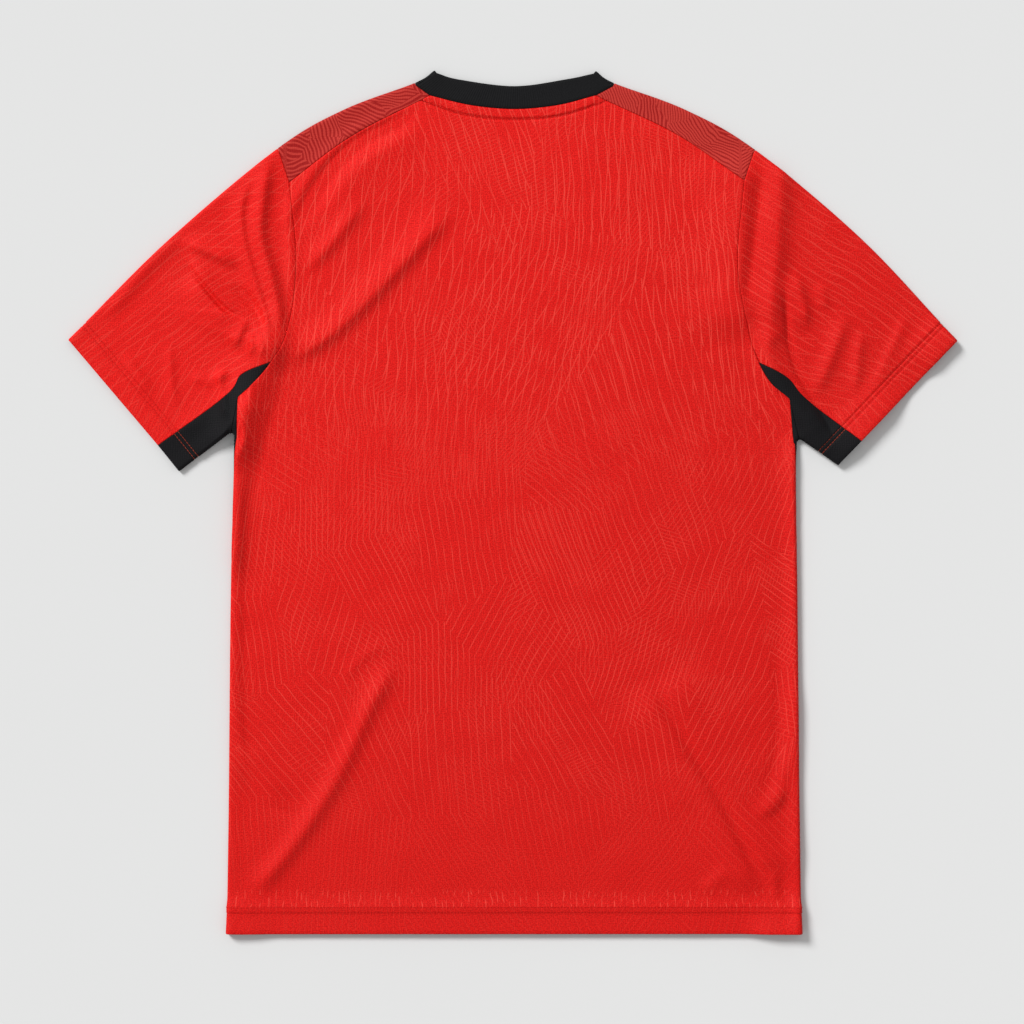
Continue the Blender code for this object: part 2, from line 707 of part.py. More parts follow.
def make_collar(lie, halves, neck):
    """The rib ring: its back arc on top, its front arc on the surface."""
    left, right = halves
    sheet = Sheet(lie, RIB)
    seam_starts = [fold_centres(half.collar_fold, RIB) for half in halves]
    seam = np.vstack([
        np.linspace(seam_starts[0][0], left.at["neck_seam"], 3)[:-1],
        share(spline([left.at["neck_seam"], left.at["neck_mid"], NECK_CENTRE,
                      right.at["neck_mid"], right.at["neck_seam"]]), even(NECK_CELLS)),
        np.linspace(right.at["neck_seam"], seam_starts[1][0], 3)[1:]])
    edge = share(spline([seam_starts[0][-1], NECK_TOP_MID[0], NECK_TOP_CENTRE,
                         NECK_TOP_MID[1], seam_starts[1][-1]]), even(len(seam) - 1))
    rows = []
    for low, high in zip(seam, edge):
        rows.append(sheet.top(low + (high - low) * even(RIB_CELLS)[:, None]))
    under_seam = neck[::-1]
    run = np.gradient(under_seam, axis=0)[1:-1]
    under_seam = under_seam[1:-1]
    run /= np.linalg.norm(run, axis=1)[:, None]
    across = np.stack([run[:, 1], -run[:, 0]], axis=1)
    for k in range(1, TURN_CELLS + 1):
        rows.append([sheet.round_fold(spot, k / TURN_CELLS) for spot in right.collar_fold])
    for low, way in zip(under_seam, across):
        rows.append(sheet.under(low + way * COLLAR_WIDTH * even(RIB_CELLS)[:, None]))
    for k in range(TURN_CELLS, 0, -1):
        rows.append([sheet.round_fold(spot, k / TURN_CELLS) for spot in left.collar_fold])
    rows.append(rows[0])
    sheet.skin(rows)
    sheet.leave_free([row[-1] for row in rows])
    return sheet.build("collar", "black_rib")


def main():
    for old in list(bpy.data.objects):
        bpy.data.objects.remove(old, do_unlink=True)
    halves = (Half(0), Half(1))
    lie = Lie(halves)
    neck = front_neck(halves)
    make_back(lie, halves)
    make_front(lie, halves, neck)
    make_collar(lie, halves, neck)
    make_shoulder(lie, halves[0], neck[1:3])
    make_shoulder(lie, halves[1], neck[-2:-4:-1])
    for half in halves:
        make_sleeve(lie, half)
        make_underarm(lie, half)
        make_side(lie, half)


main()
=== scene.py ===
"""The looks of a short-sleeved football jersey that lies flat on its front, with its back up.

Every cut piece is made again as a thin closed shell over the form of its solid, with finer
folds, sunken seams, doubled hems and real stitches. Lengths are in millimetres until the
meshes are made. +X is to the right as the back is seen, +Y towards the collar, +Z up.
"""
import math

import bpy
import numpy as np
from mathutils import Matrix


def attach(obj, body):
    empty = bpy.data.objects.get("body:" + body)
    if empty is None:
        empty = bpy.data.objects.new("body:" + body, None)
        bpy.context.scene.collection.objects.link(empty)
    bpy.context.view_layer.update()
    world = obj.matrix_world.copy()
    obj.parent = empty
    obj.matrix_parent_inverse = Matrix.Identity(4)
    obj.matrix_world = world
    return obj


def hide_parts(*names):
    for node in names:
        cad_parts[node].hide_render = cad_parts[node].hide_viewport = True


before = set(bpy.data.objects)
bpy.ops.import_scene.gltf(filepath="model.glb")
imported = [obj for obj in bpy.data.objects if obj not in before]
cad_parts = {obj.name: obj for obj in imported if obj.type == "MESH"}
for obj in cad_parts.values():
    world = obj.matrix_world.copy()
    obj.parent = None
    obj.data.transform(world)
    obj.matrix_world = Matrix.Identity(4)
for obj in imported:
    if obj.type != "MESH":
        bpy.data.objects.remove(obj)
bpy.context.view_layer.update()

MM = 0.001
UP = np.array((0.0, 0.0, 1.0))
STEPS = 10              # short runs of a smooth line between two of its points

# Cloth
CLOTH = 1.3             # wall of the knitted panels
RIB = 2.0               # wall of the collar's rib
THIN = 0.4              # share of the wall that is left at the edge of a piece
CLOSE = 0.8             # how near an edge the wall has its full thickness
SEAM_GAP = 0.12         # between two pieces that are sewn together

# Hems, cuffs and neck tape: rows of points and of stitches, from the edge of the cloth
HEM_LINES = (19.5, 24.0)
CUFF_LINES = (18.0, 22.0)
HEM_MARKS = (0.0, 0.8, 4.0, 8.0, 12.0, 16.0, 18.5, 19.5, 20.5, 23.0, 24.0, 25.0)
CUFF_MARKS = (0.0, 0.8, 4.0, 8.0, 12.0, 15.0, 17.0, 18.0, 19.0, 21.0, 22.0, 23.0)
NECK_MARKS = (0.0, 0.8, 2.0, 3.5, 5.0, 6.0, 6.8, 7.6, 8.4, 9.2, 10.0, 11.0, 12.5, 14.5)
HEM_ROWS = [HEM_MARKS.index(line) for line in HEM_LINES]
CUFF_ROWS = [CUFF_MARKS.index(line) for line in CUFF_LINES]
# Distance from the edge, and how far the cloth stands out there: the hem's edge curls up and
# its cloth tunnels between the stitches; the cuff sinks along them
HEM_PROFILE = [(0.0, 1.05), (18.5, 0.45), (20.5, 0.95), (24.0, 0.95), (31.0, 0.0)]
CUFF_PROFILE = [(4.0, 0.0), (17.0, -0.2), (18.0, -1.0), (19.0, -0.3), (21.0, -0.35),
                (22.0, -1.1), (23.0, 0.0)]
TAPE_LINE = [(-83.0, 361.9), (-52.0, 350.6), (-22.0, 345.4), (7.0, 344.4), (36.0, 346.4),
             (62.0, 352.6), (85.0, 361.9)]          # topstitching under the collar
TAPE_STEPS = 20
TAPE_LOW = 335.0        # the tape lies above this line across the back
TAPE_LIFT = 0.45        # how far the doubled tape stands out
TAPE_START, TAPE_RISE = 0.6, 1.4    # where it begins below its stitches, and over what width
STITCH_DIP = 1.5        # how deep the tape's stitches sink
STITCH_BED = 1.0        # half the width of their groove

# How the jersey lies
GRID_HALF = (425.0, 412.0)          # of the heights, which are a millimetre apart
TURN = 2.3              # half the loop's width where the cloth folds over
LOOP = math.pi * TURN   # the loop's length along the cloth
BASE = 3.2              # height of the upper layer's middle surface
RIM = 0.6               # how much higher it is along a folded edge
RIM_WIDTH = 17.0
EDGE_LOW, EDGE_HIGH = 3.2, 11.5     # least and most height at a folded edge
EDGE_SLOPE = 0.35       # how steeply the most height grows inwards from the edge
LAYER_LOW = 2.35        # the upper layer never comes lower than this
CLEARANCE = 2.2         # from the lower layer's middle surface to the upper one's, at least
NOTCH_RADIUS = 3.0      # between the sleeve and the body's side
HEM_RAMP = (1.1, 14.0, 24.0)        # rise towards the hem, its length, its top's distance
CUFF_RAMP = (1.2, 15.0, 22.0)
CUFF_FADE = (22.0, 16.0)            # it ends this far past the cuff, and fades over this length
WAVES = [(150.0, 5, 0.05), (52.0, 7, 0.035), (24.0, 9, 0.014)]      # length, number, height
WAVE_SEED = 11

# Parts of the cut that no name in SHAPE gives
BACK_WRAP = 8.0         # how far the back reaches in under the garment
EDGE_INSET = 10.0       # width of the back's edge strip on top, beside the loop
COLLAR_WIDTH = 20.7
FRONT_SADDLE = 26.0     # how far down the front's neck seam the saddle panels reach
FRONT_NECK = [(-75.0, 336.0), (-56.0, 288.0), (-27.0, 266.0), (0.0, 261.0),
              (27.0, 266.0), (56.0, 288.0), (75.0, 336.0)]
FRONT_CORNER = 0.003    # share of the armhole that the front's top corner is split off by

# Faces along each seam
NECK_CELLS = 60
FRONT_NECK_CELLS = 90
FRONT_TOP_CELLS = 24    # beside the neck
SADDLE_CELLS = 52
SADDLE_WIDTH_CELLS = 18
SADDLE_NECK_CELLS = 12  # where a saddle panel meets the front's neck seam
ARMHOLE_CELLS = 84
UNDERARM_CELLS = 22
EDGE_CELLS = 7          # of these, beside the back's edge strip
INSERT_CELLS = 26
SLEEVE_CELLS = 130
SIDE_CELLS = 131
TURN_CELLS = 8
PANEL_CELLS = 22
RIB_CELLS = 7
RIBS_BACK, RIBS_FRONT, RIBS_TURN = 80, 118, 3
RIB_STEPS = 4           # columns to a rib
RIB_RELIEF = 0.13
NOTCH_SHARES = (0.0, 0.08, 0.15, 0.25, 0.35, 0.5, 0.65, 0.82, 1.0)
NOTCH_CELLS = len(NOTCH_SHARES) - 1
SIDE_ROWS = NOTCH_CELLS + SIDE_CELLS + len(HEM_MARKS)      # from the notch to the hem
ARC_POINTS, STRAIGHT_POINTS = 13, 20        # of the notch's arcs, of the underarm's fold
UNDERARM_POWER = 1.5    # by which the cells of that fold get smaller towards the notch
INSERT_REACH, FRONT_REACH = 4.0, 3.0        # see span

# The narrow faces beside the edges of a piece, as a share of its width
COLLAR_EDGE, SADDLE_EDGE, INSERT_EDGE, SIDE_EDGE = 0.04, 0.03, 0.012, 0.02
SLEEVE_EDGE, FRONT_EDGE, BACK_EDGE = 0.006, 0.0016, CLOSE / 480.0

# Named points of the jersey as it lies: (x, y) on the left, (x, y) on the right
SHAPE = {
    "collar_tip": ((-70.0, 388.3), (74.8, 387.8)),
    "collar_end": ((-87.8, 377.0), (91.5, 376.7)),
    "shoulder_mid": ((-151.7, 352.9), (155.3, 352.9)),
    "shoulder_tip": ((-211.6, 317.8), (218.4, 316.6)),
    "sleeve_mid": ((-309.2, 235.9), (314.6, 235.9)),
    "cuff_top": ((-399.6, 145.9), (399.8, 145.0)),
    "cuff_seam": ((-318.6, 50.9), (313.0, 54.6)),
    "cuff_low": ((-299.8, 27.5), (292.7, 32.9)),
    "notch": ((-249.8, 64.9), (255.6, 58.6)),
    "side_high": ((-250.7, 20.0), (254.7, 20.0)),
    "side_mid": ((-253.4, -88.0), (256.1, -88.0)),
    "side_low": ((-255.2, -268.0), (257.9, -268.0)),
    "hem": ((-257.0, -388.0), (259.7, -387.8)),
    "neck_seam": ((-74.3, 365.5), (74.6, 365.5)),
    "neck_mid": ((-38.0, 356.9), (41.0, 356.9)),
    "saddle_mid": ((-144.3, 329.0), (149.0, 329.6)),
    "saddle_end": ((-200.7, 287.5), (207.9, 288.5)),
    "armhole_waist": ((-194.3, 214.4), (201.9, 214.4)),
    "armhole_low": ((-202.3, 154.1), (212.0, 154.1)),
    "insert_top": ((-216.6, 125.6), (221.0, 125.6)),
    "armhole_turn": ((-234.5, 104.8), (232.9, 105.8)),
    "underarm": ((-246.2, 95.0), (248.6, 93.7)),
    "insert_hip": ((-243.0, 114.5), (247.0, 111.5)),
    "insert_bend": ((-256.5, 96.0), (264.0, 92.5)),
    "side_panel_hem": ((-219.0, -388.0), (222.0, -387.8)),
    "side_panel_mid": ((-214.0, -80.0), (218.0, -80.0)),
}
NECK_CENTRE = (1.6, 353.4)
NECK_TOP_CENTRE = (1.6, 374.0)
NECK_TOP_MID = ((-48.2, 379.9), (47.3, 379.9))

# The folds of the upper layer. Each runs through its points; its height is that of the
# crest, or of the trough where it is below zero, and its two widths are those of its
# flanks, to the left and to the right of the way it runs.
FOLDS = [
    # height, left width, right width, points
    # low on the left: the long sweep, the hook above it, the crease beside it
    (4.3, 7.5, 9.0, (-105, -140), (-117, -164), (-127, -182), (-138, -206), (-153, -239),
     (-172, -272), (-193, -303), (-214, -330), (-238, -355)),
    (1.0, 4.5, 6.0, (-103, -141), (-109, -133), (-119, -131), (-131, -137), (-144, -150),
     (-157, -170)),
    (1.8, 9.0, 5.0, (-243, -214), (-230, -236), (-217, -253), (-199, -268)),
    (-1.5, 3.6, 3.6, (-248, -232), (-240, -248), (-224, -270), (-204, -279), (-188, -282)),
    # low on the right
    (4.0, 6.8, 22.0, (114, -159), (142, -206), (161, -239), (179, -268), (195, -299), (211, -332),
     (224, -357)),
    (4.1, 34.0, 6.0, (128, -152), (157, -199), (177, -232), (196, -260), (211, -290), (227, -323),
     (241, -350)),
    (-1.4, 4.0, 6.0, (120, -165), (164, -231), (193, -282), (212, -320), (222, -346)),
    (2.3, 7.0, 6.0, (253, -150), (252, -196), (249, -226), (240, -257), (221, -282)),
    (2.3, 4.0, 10.0, (247, -251), (240, -267), (229, -277), (214, -281)),
    (-0.9, 4.5, 4.5, (238, -110), (238, -200), (234, -237), (222, -270)),
    (0.7, 8.0, 8.0, (126, -228), (144, -254), (162, -280)),
    (1.5, 4.0, 8.0, (166, -351), (180, -341), (195, -325)),
    (2.0, 3.2, 6.0, (233, -328), (236, -343), (239, -362)),
    # high on the back
    (2.4, 20.0, 9.0, (-76, 334), (-107, 320), (-136, 300), (-157, 275), (-172, 244)),
    (-2.8, 7.0, 6.5, (-80, 352), (-104, 341), (-134, 326), (-158, 306), (-174, 284), (-187, 261),
     (-196, 240)),
    (1.7, 7.0, 6.0, (-92, 354), (-140, 334), (-169, 309), (-186, 286), (-199, 262), (-206, 240)),
    (3.3, 6.5, 9.0, (-128, 277), (-143, 258), (-160, 236), (-179, 215), (-192, 203)),
    (4.6, 7.4, 15.0, (-52, 264), (-66, 250), (-104, 209), (-147, 165), (-176, 142), (-205, 127)),
    (1.3, 8.0, 12.0, (101, 347), (138, 329), (170, 306), (194, 280)),
    (0.7, 13.0, 15.0, (96, 236), (128, 214), (168, 196)),
    # the sides: the left one is bunched under the arm, the right one stands up all the way
    (3.6, 13.0, 60.0, (-213, 182), (-214, 162), (-220, 138), (-229, 118)),
    (8.6, 17.0, 26.0, (-211, 168), (-213, 150), (-217, 135), (-229, 112), (-239, 84), (-245, 56),
     (-250, 24)),
    (4.2, 11.0, 20.0, (-232, 118), (-240, 80), (-246, 34), (-249, -20), (-251, -76)),
    (1.8, 4.5, 12.0, (-243, 30), (-246, -40), (-248, -120), (-247, -190), (-241, -232),
     (-230, -254)),
    (-1.0, 6.0, 6.0, (-201, 152), (-206, 112), (-216, 76), (-226, 40), (-237, -12)),
    (4.6, 10.0, 10.0, (250, 66), (255, 20), (258, -60), (259, -180), (261, -300), (262, -400)),
    # the left sleeve, from the shoulder down
    (5.6, 6.0, 11.0, (-216, 316), (-221, 294), (-225, 265), (-226, 238), (-217, 203), (-211, 176),
     (-206, 142)),
    (1.9, 5.0, 5.0, (-203, 284), (-199, 216), (-198, 174)),
    (3.2, 3.8, 9.0, (-233, 298), (-243, 268), (-243, 244), (-238, 221), (-228, 187), (-221, 161),
     (-219, 132)),
    (2.2, 7.5, 7.0, (-375, 159), (-353, 181), (-328, 211), (-304, 232), (-288, 230)),
    (4.4, 8.0, 4.8, (-299, 237), (-285, 230), (-274, 225), (-260, 219), (-243, 209)),
    (5.2, 10.0, 2.7, (-292, 226), (-284, 208), (-267, 187), (-255, 175), (-243, 168), (-234, 161)),
    (4.7, 2.7, 17.0, (-292, 210), (-288, 203), (-272, 182), (-260, 170), (-248, 163), (-240, 157)),
    (-1.8, 2.0, 2.0, (-295, 222), (-286, 206), (-269, 185), (-257, 173), (-245, 166), (-236, 159)),
    (-3.4, 4.0, 4.0, (-256, 194), (-248, 191), (-238, 183), (-227, 166), (-222, 146)),
    (3.3, 4.2, 10.0, (-237, 168), (-244, 152), (-252, 135)),
    (1.9, 3.8, 6.0, (-264, 122), (-262, 110), (-261, 95)),
    (2.2, 3.5, 3.5, (-238, 152), (-233, 141), (-236, 130)),
    (1.8, 3.0, 3.5, (-229, 148), (-224, 138), (-227, 128)),
    (2.2, 5.0, 4.0, (-268, 106), (-261, 113), (-254, 119)),
    (1.6, 6.0, 4.5, (-292, 111), (-279, 110), (-266, 103)),
    (1.4, 4.5, 7.0, (-350, 138), (-338, 118), (-322, 94)),
    (1.6, 4.0, 6.0, (-308, 146), (-307, 122), (-305, 100), (-298, 82)),
    # the right sleeve
    (6.2, 14.5, 34.0, (206, 322), (207, 292), (206, 257), (205, 226), (203, 189), (205, 138)),
    (-2.4, 6.0, 8.0, (224, 306), (221, 272), (217, 236), (212, 200), (209, 168)),
    (6.0, 10.5, 14.0, (240, 322), (240, 300), (240, 272), (238, 249), (236, 216), (233, 190),
     (232, 158)),
    (6.0, 13.0, 12.0, (235, 198), (233, 178), (232, 160), (230, 137), (236, 116), (246, 98),
     (258, 82), (270, 64), (286, 38)),
    (-2.6, 3.4, 3.4, (244, 200), (247, 160), (250, 139), (255, 121), (263, 105), (272, 89),
     (283, 70), (295, 48)),
    (4.2, 6.0, 11.0, (250, 210), (257, 191), (262, 172), (264, 150)),
    (1.6, 5.0, 6.0, (275, 198), (279, 185), (282, 171)),
    (3.2, 7.0, 8.0, (301, 176), (296, 158), (288, 135), (276, 106), (266, 90)),
    (2.6, 6.0, 6.0, (315, 160), (311, 136), (309, 112), (307, 92)),
    (2.0, 7.0, 5.0, (358, 176), (350, 158), (339, 134), (322, 100)),
    (0.8, 5.0, 5.0, (226, 140), (234, 147), (244, 152)),
    # the inserts
    (2.0, 3.5, 4.5, (-258, 104), (-258, 86), (-254, 72)),
    (1.5, 9.0, 9.0, (-305, 60), (-288, 70), (-270, 80)),
    (0.9, 6.0, 6.0, (286, 66), (274, 74), (263, 84)),
    # the raised cuff on the right, and the corners of the hem
    (4.4, 12.0, 24.0, (406, 158), (393, 142), (380, 128), (366, 113)),
    (6.2, 12.0, 24.0, (356, 102), (340, 84), (318, 60), (296, 36), (286, 24)),
    (5.0, 20.0, 12.0, (206, -394), (238, -392), (285, -384)),
    (2.4, 16.0, 12.0, (-290, -382), (-243, -390), (-212, -394)),
    (0.7, 4.0, 5.0, (-249, -350), (-240, -362), (-233, -376)),
    (0.6, 5.0, 4.0, (247, -352), (240, -366), (236, -380)),
]
FOLD_END = (34.0, 0.35)     # a fold fades out over this length, or this share of its own
FOLD_POWER = 1.8        # 2 gives a round crest, and less a keener one
FOLD_REACH = 2.6        # how many of its widths it reaches
FOLD_STEPS = 6
PART_RUNS = 6           # short runs of an outline that are measured from at a time

# Folds of the lower layer, which lift off the surface under the jersey
UNDER_FOLDS = [
    # height, left width, right width, points
    (1.0, 12.0, 9.0, (-196, 236), (-150, 196), (-96, 176)),
    (1.0, 9.0, 13.0, (190, 220), (140, 178), (104, 122)),
    (0.8, 9.0, 8.0, (-58, 244), (-34, 214), (-22, 150)),
    (0.8, 8.0, 10.0, (62, 240), (44, 196), (40, 140)),
    (0.9, 13.0, 9.0, (-206, 60), (-160, 20), (-120, -40)),
    (0.9, 9.0, 14.0, (206, 30), (170, -40), (150, -110)),
    (1.0, 11.0, 15.0, (-196, -170), (-140, -230), (-110, -320)),
    (1.0, 15.0, 10.0, (186, -210), (120, -268), (96, -340)),
    (0.7, 15.0, 12.0, (-40, -60), (10, -130), (20, -220)),
    (0.9, 9.0, 8.0, (-330, 170), (-280, 150), (-230, 160)),
    (0.9, 8.0, 9.0, (330, 160), (284, 140), (236, 156)),
]

# The neck hole lets the back's middle sink: centre, half width, half depth and drop
NECK_SAG = ((1.6, 350.0), 42.0, 40.0, 1.15)


# ---------------------------------------------------------------- lines

def spline(points, steps=STEPS):
    """A smooth line through the points, as many short runs."""
    p = np.array(points, float)
    ends = np.vstack([2 * p[0] - p[1], p, 2 * p[-1] - p[-2]])
    line = []
    for a, b, c, d in zip(ends, ends[1:], ends[2:], ends[3:]):
        for t in np.linspace(0.0, 1.0, steps, endpoint=False):
            square, cube = t * t, t * t * t
            line.append(0.5 * (2 * b + (c - a) * t + (2 * a - 5 * b + 4 * c - d) * square
                               + (3 * b - a - 3 * c + d) * cube))
    line.append(p[-1])
    return np.array(line)


def lengths(line):
    """How far along the line each of its points lies."""
    steps = np.linalg.norm(np.diff(line, axis=0), axis=1)
    return np.concatenate([[0.0], np.cumsum(steps)])


def extent(line):
    """The whole length of a line in plan."""
    return lengths(line[:, :2])[-1]


def values_at(wanted, run, values):
    """Each column of the values at the wanted places of their run."""
    return np.stack([np.interp(wanted, run, column) for column in values.T], axis=-1)


def share(line, fractions):
    """Points at the given fractions of the line's length, with all that they carry."""
    run = lengths(line[:, :2])
    return values_at(np.asarray(fractions) * run[-1], run, line)


def between(start, end, part):
    """What lies this part of the way from the start to the end."""
    return start + (end - start) * part


def even(cells):
    """Fractions from 0 to 1 with as many even cells between them."""
    return np.linspace(0.0, 1.0, cells + 1)


def in_parts(corners, cells):
    """Fractions with a number of even cells between each two of the corners."""
    ends = [0.0, *corners, 1.0]
    parts = [between(a, b, even(count)[:-1]) for a, b, count in zip(ends, ends[1:], cells)]
    return np.concatenate([*parts, [1.0]])


def graded(total, marks, cells, power=1.0):
    """Fractions of a length: the marks first, then cells to its end, the last one split."""
    start = marks[-1] / total
    rest = between(start, 1.0, 1.0 - (1.0 - even(cells)) ** power)
    return np.concatenate([np.array(marks[:-1]) / total, rest[:-1], [1.0 - CLOSE / total, 1.0]])


def split_ends(fractions, near):
    """The fractions with one more beside each end."""
    return np.concatenate([fractions[:1], [near], fractions[1:-1], [1.0 - near], fractions[-1:]])


def split(cells, near):
    """Even fractions with one more beside each end."""
    return split_ends(even(cells), near)


def unit(ways):
    """The same ways, each with a length of 1."""
    return ways / np.linalg.norm(ways, axis=-1, keepdims=True)


def outward(line, sign):
    """The way out of the garment at each point of its outline."""
    along = unit(np.gradient(line, axis=0))
    return sign * np.stack([-along[:, 1], along[:, 0]], axis=1)


def span(left, right, top, columns, reach=2.0):
    """Rows of points between two edges that run upwards, from a straight row at the bottom
    to the given top line, whose shape fades out downwards the faster the more its reach."""
    u = np.asarray(columns)[:, None]
    top = share(top, columns)
    bulge = top - between(top[0], top[-1], u)
    run = lengths((left + right) / 2)
    climb = (run / run[-1]) ** reach
    return np.array([between(low, high, u) + v * bulge for low, high, v in zip(left, right, climb)])


def profile(table, places):
    """The table's second column, read off at places along its first one."""
    return np.interp(places, *zip(*table))


# ---------------------------------------------------------------- one half of the outline

def cuff_shares(total, power=1.0):
    """Fractions of a line of this length that runs in from the cuff's edge."""
    return graded(total, CUFF_MARKS, SLEEVE_CELLS, power)


class Half:
    """The seams and folded edges of the jersey's left or right half."""

    def __init__(self, side):
        self.name = ("left", "right")[side]
        self.sign = (-1.0, 1.0)[side]
        self.at = {name: np.array(pair[side]) for name, pair in SHAPE.items()}
        self.upper_outline()
        self.lower_outline()
        self.seams()

    def line(self, *names):
        return spline([self.at[name] for name in names])

    def upper_outline(self):
        """From the collar's tip over the shoulder and down the sleeve to the cuff."""
        self.upper = self.line("collar_tip", "collar_end", "shoulder_mid", "shoulder_tip",
                               "sleeve_mid", "cuff_top")
        both = np.hstack([self.upper, outward(self.upper, self.sign)])
        self.collar_fold = share(both[:STEPS + 1], split(RIB_CELLS, COLLAR_EDGE))[::-1]
        shoulder, sleeve = both[STEPS:3 * STEPS + 1], both[3 * STEPS:][::-1]
        self.shoulder_shares = split(SADDLE_CELLS, CLOSE / extent(shoulder))
        self.shoulder_fold = share(shoulder, self.shoulder_shares)
        shares = cuff_shares(extent(sleeve))
        self.sleeve_fold = share(sleeve, shares)
        self.cuff_lift = profile(CUFF_PROFILE, shares * extent(sleeve))

    def lower_outline(self):
        """From the cuff along the underarm to the notch, and down the body's side."""
        notch, cuff, side = self.at["notch"], self.at["cuff_low"], self.at["side_high"]
        to_cuff, to_side = unit(cuff - notch), unit(side - notch)
        half_angle = math.acos(float(to_cuff @ to_side)) / 2
        centre = notch + unit(to_cuff + to_side) * NOTCH_RADIUS / math.sin(half_angle)
        tangent = NOTCH_RADIUS / math.tan(half_angle)
        ends = np.array([notch + to_cuff * tangent, self.at["underarm"], notch + to_side * tangent])
        start, seam, end = (math.atan2(y, self.sign * x) % (2 * math.pi) for x, y in ends - centre)

        def arc(first, last):
            turn = np.linspace(first, last, ARC_POINTS)
            spokes = np.stack([self.sign * np.cos(turn), np.sin(turn)], axis=1)
            return np.hstack([centre + NOTCH_RADIUS * spokes, -spokes])

        sleeve_arc, side_arc = arc(start, seam), arc(seam, end)
        straight = np.linspace(cuff, sleeve_arc[0, :2], STRAIGHT_POINTS, endpoint=False)
        underarm = np.vstack([np.hstack([straight, outward(straight, self.sign)]), sleeve_arc])
        self.underarm_fold = share(underarm, cuff_shares(extent(underarm), UNDERARM_POWER))
        body = spline([side_arc[-1, :2], side, self.at["side_mid"], self.at["side_low"],
                       self.at["hem"]])
        self.lower = np.vstack([straight, sleeve_arc[:, :2], side_arc[1:, :2], body[1:]])
        body = np.hstack([body, outward(body, self.sign)])
        body[0, 2:] = side_arc[-1, 2:]
        up = graded(extent(body), HEM_MARKS, SIDE_CELLS)[::-1]
        self.side_fold = np.vstack([share(side_arc, NOTCH_SHARES), share(body, 1.0 - up)[1:]])
        self.hem_lift = np.zeros(len(self.side_fold))
        self.hem_lift[NOTCH_CELLS + 1:] = profile(HEM_PROFILE, up[1:] * extent(body))

    def seams(self):
        """The seams of the upper layer, and those of the layer under it."""
        self.saddle_line = self.line("neck_seam", "saddle_mid", "saddle_end")
        self.saddle_seam = share(self.saddle_line, self.shoulder_shares)
        armhole = self.line("saddle_end", "armhole_waist", "armhole_low", "insert_top",
                            "armhole_turn", "underarm")
        upper, lower = armhole[:3 * STEPS + 1], armhole[3 * STEPS:]
        marks = np.array(NECK_MARKS) / extent(upper)
        rest = between(marks[-1], 1.0, even(ARMHOLE_CELLS)[1:])
        self.armhole = share(upper, np.concatenate([marks, rest]))
        seam = share(lower, even(UNDERARM_CELLS))
        seam[-1 - EDGE_CELLS:] = between(seam[-1 - EDGE_CELLS], seam[-1], even(EDGE_CELLS)[:, None])
        self.underarm_seam = seam
        insert = self.line("cuff_seam", "insert_bend", "insert_hip", "insert_top")
        self.insert_seam = share(insert, cuff_shares(extent(insert)))
        self.front_seam = self.line("insert_top", "side_panel_mid", "side_panel_hem")


def fold_centres(fold, wall=CLOTH):
    """Where the loops of a folded edge begin, in plan."""
    return fold[:, :2] - fold[:, 2:] * (TURN + wall / 2)


def back_neck(halves):
    """The seam between the back and the collar, from the left to the right."""
    left, right = (half.at for half in halves)
    return spline([left["neck_seam"], left["neck_mid"], NECK_CENTRE, right["neck_mid"],
                   right["neck_seam"]])


def front_neck(halves):
    """The neck seam under the back, from the left collar fold to the right one, and how
    much of it at each end meets a saddle panel."""
    starts = [fold_centres(half.collar_fold[:1], RIB)[0] for half in halves]
    middle = [(NECK_CENTRE[0] + x, y) for x, y in FRONT_NECK]
    line = spline([starts[0], *middle, starts[1]])
    return line, FRONT_SADDLE / extent(line)


# ---------------------------------------------------------------- how high the cloth lies

def near_line(points, line):
    """For each point: its distance from the line, to which side, and how far along."""
    best = np.full(len(points), np.inf)
    side = np.zeros(len(points))
    along = np.zeros(len(points))
    run = lengths(line)
    for k, (a, b) in enumerate(zip(line, line[1:])):
        step = b - a
        size = float(step @ step)
        t = np.clip((points - a) @ step / size, 0.0, 1.0)
        gap = points - (a + t[:, None] * step)
        distance = np.hypot(gap[:, 0], gap[:, 1])
        nearer = distance < best
        best = np.where(nearer, distance, best)
        side = np.where(nearer, step[0] * gap[:, 1] - step[1] * gap[:, 0], side)
        along = np.where(nearer, (run[k] + t * math.sqrt(size)) / run[-1], along)
    return best, side, along


def soft_step(x):
    """From 0 to 1 as x does, level at both ends and beyond them."""
    x = np.clip(x, 0.0, 1.0)
    return x * x * (3.0 - 2.0 * x)


def ramp(measures, distance):
    """The rise towards an edge, at a distance from it."""
    rise, run, top = measures
    return rise * soft_step((top + run - distance) / run)


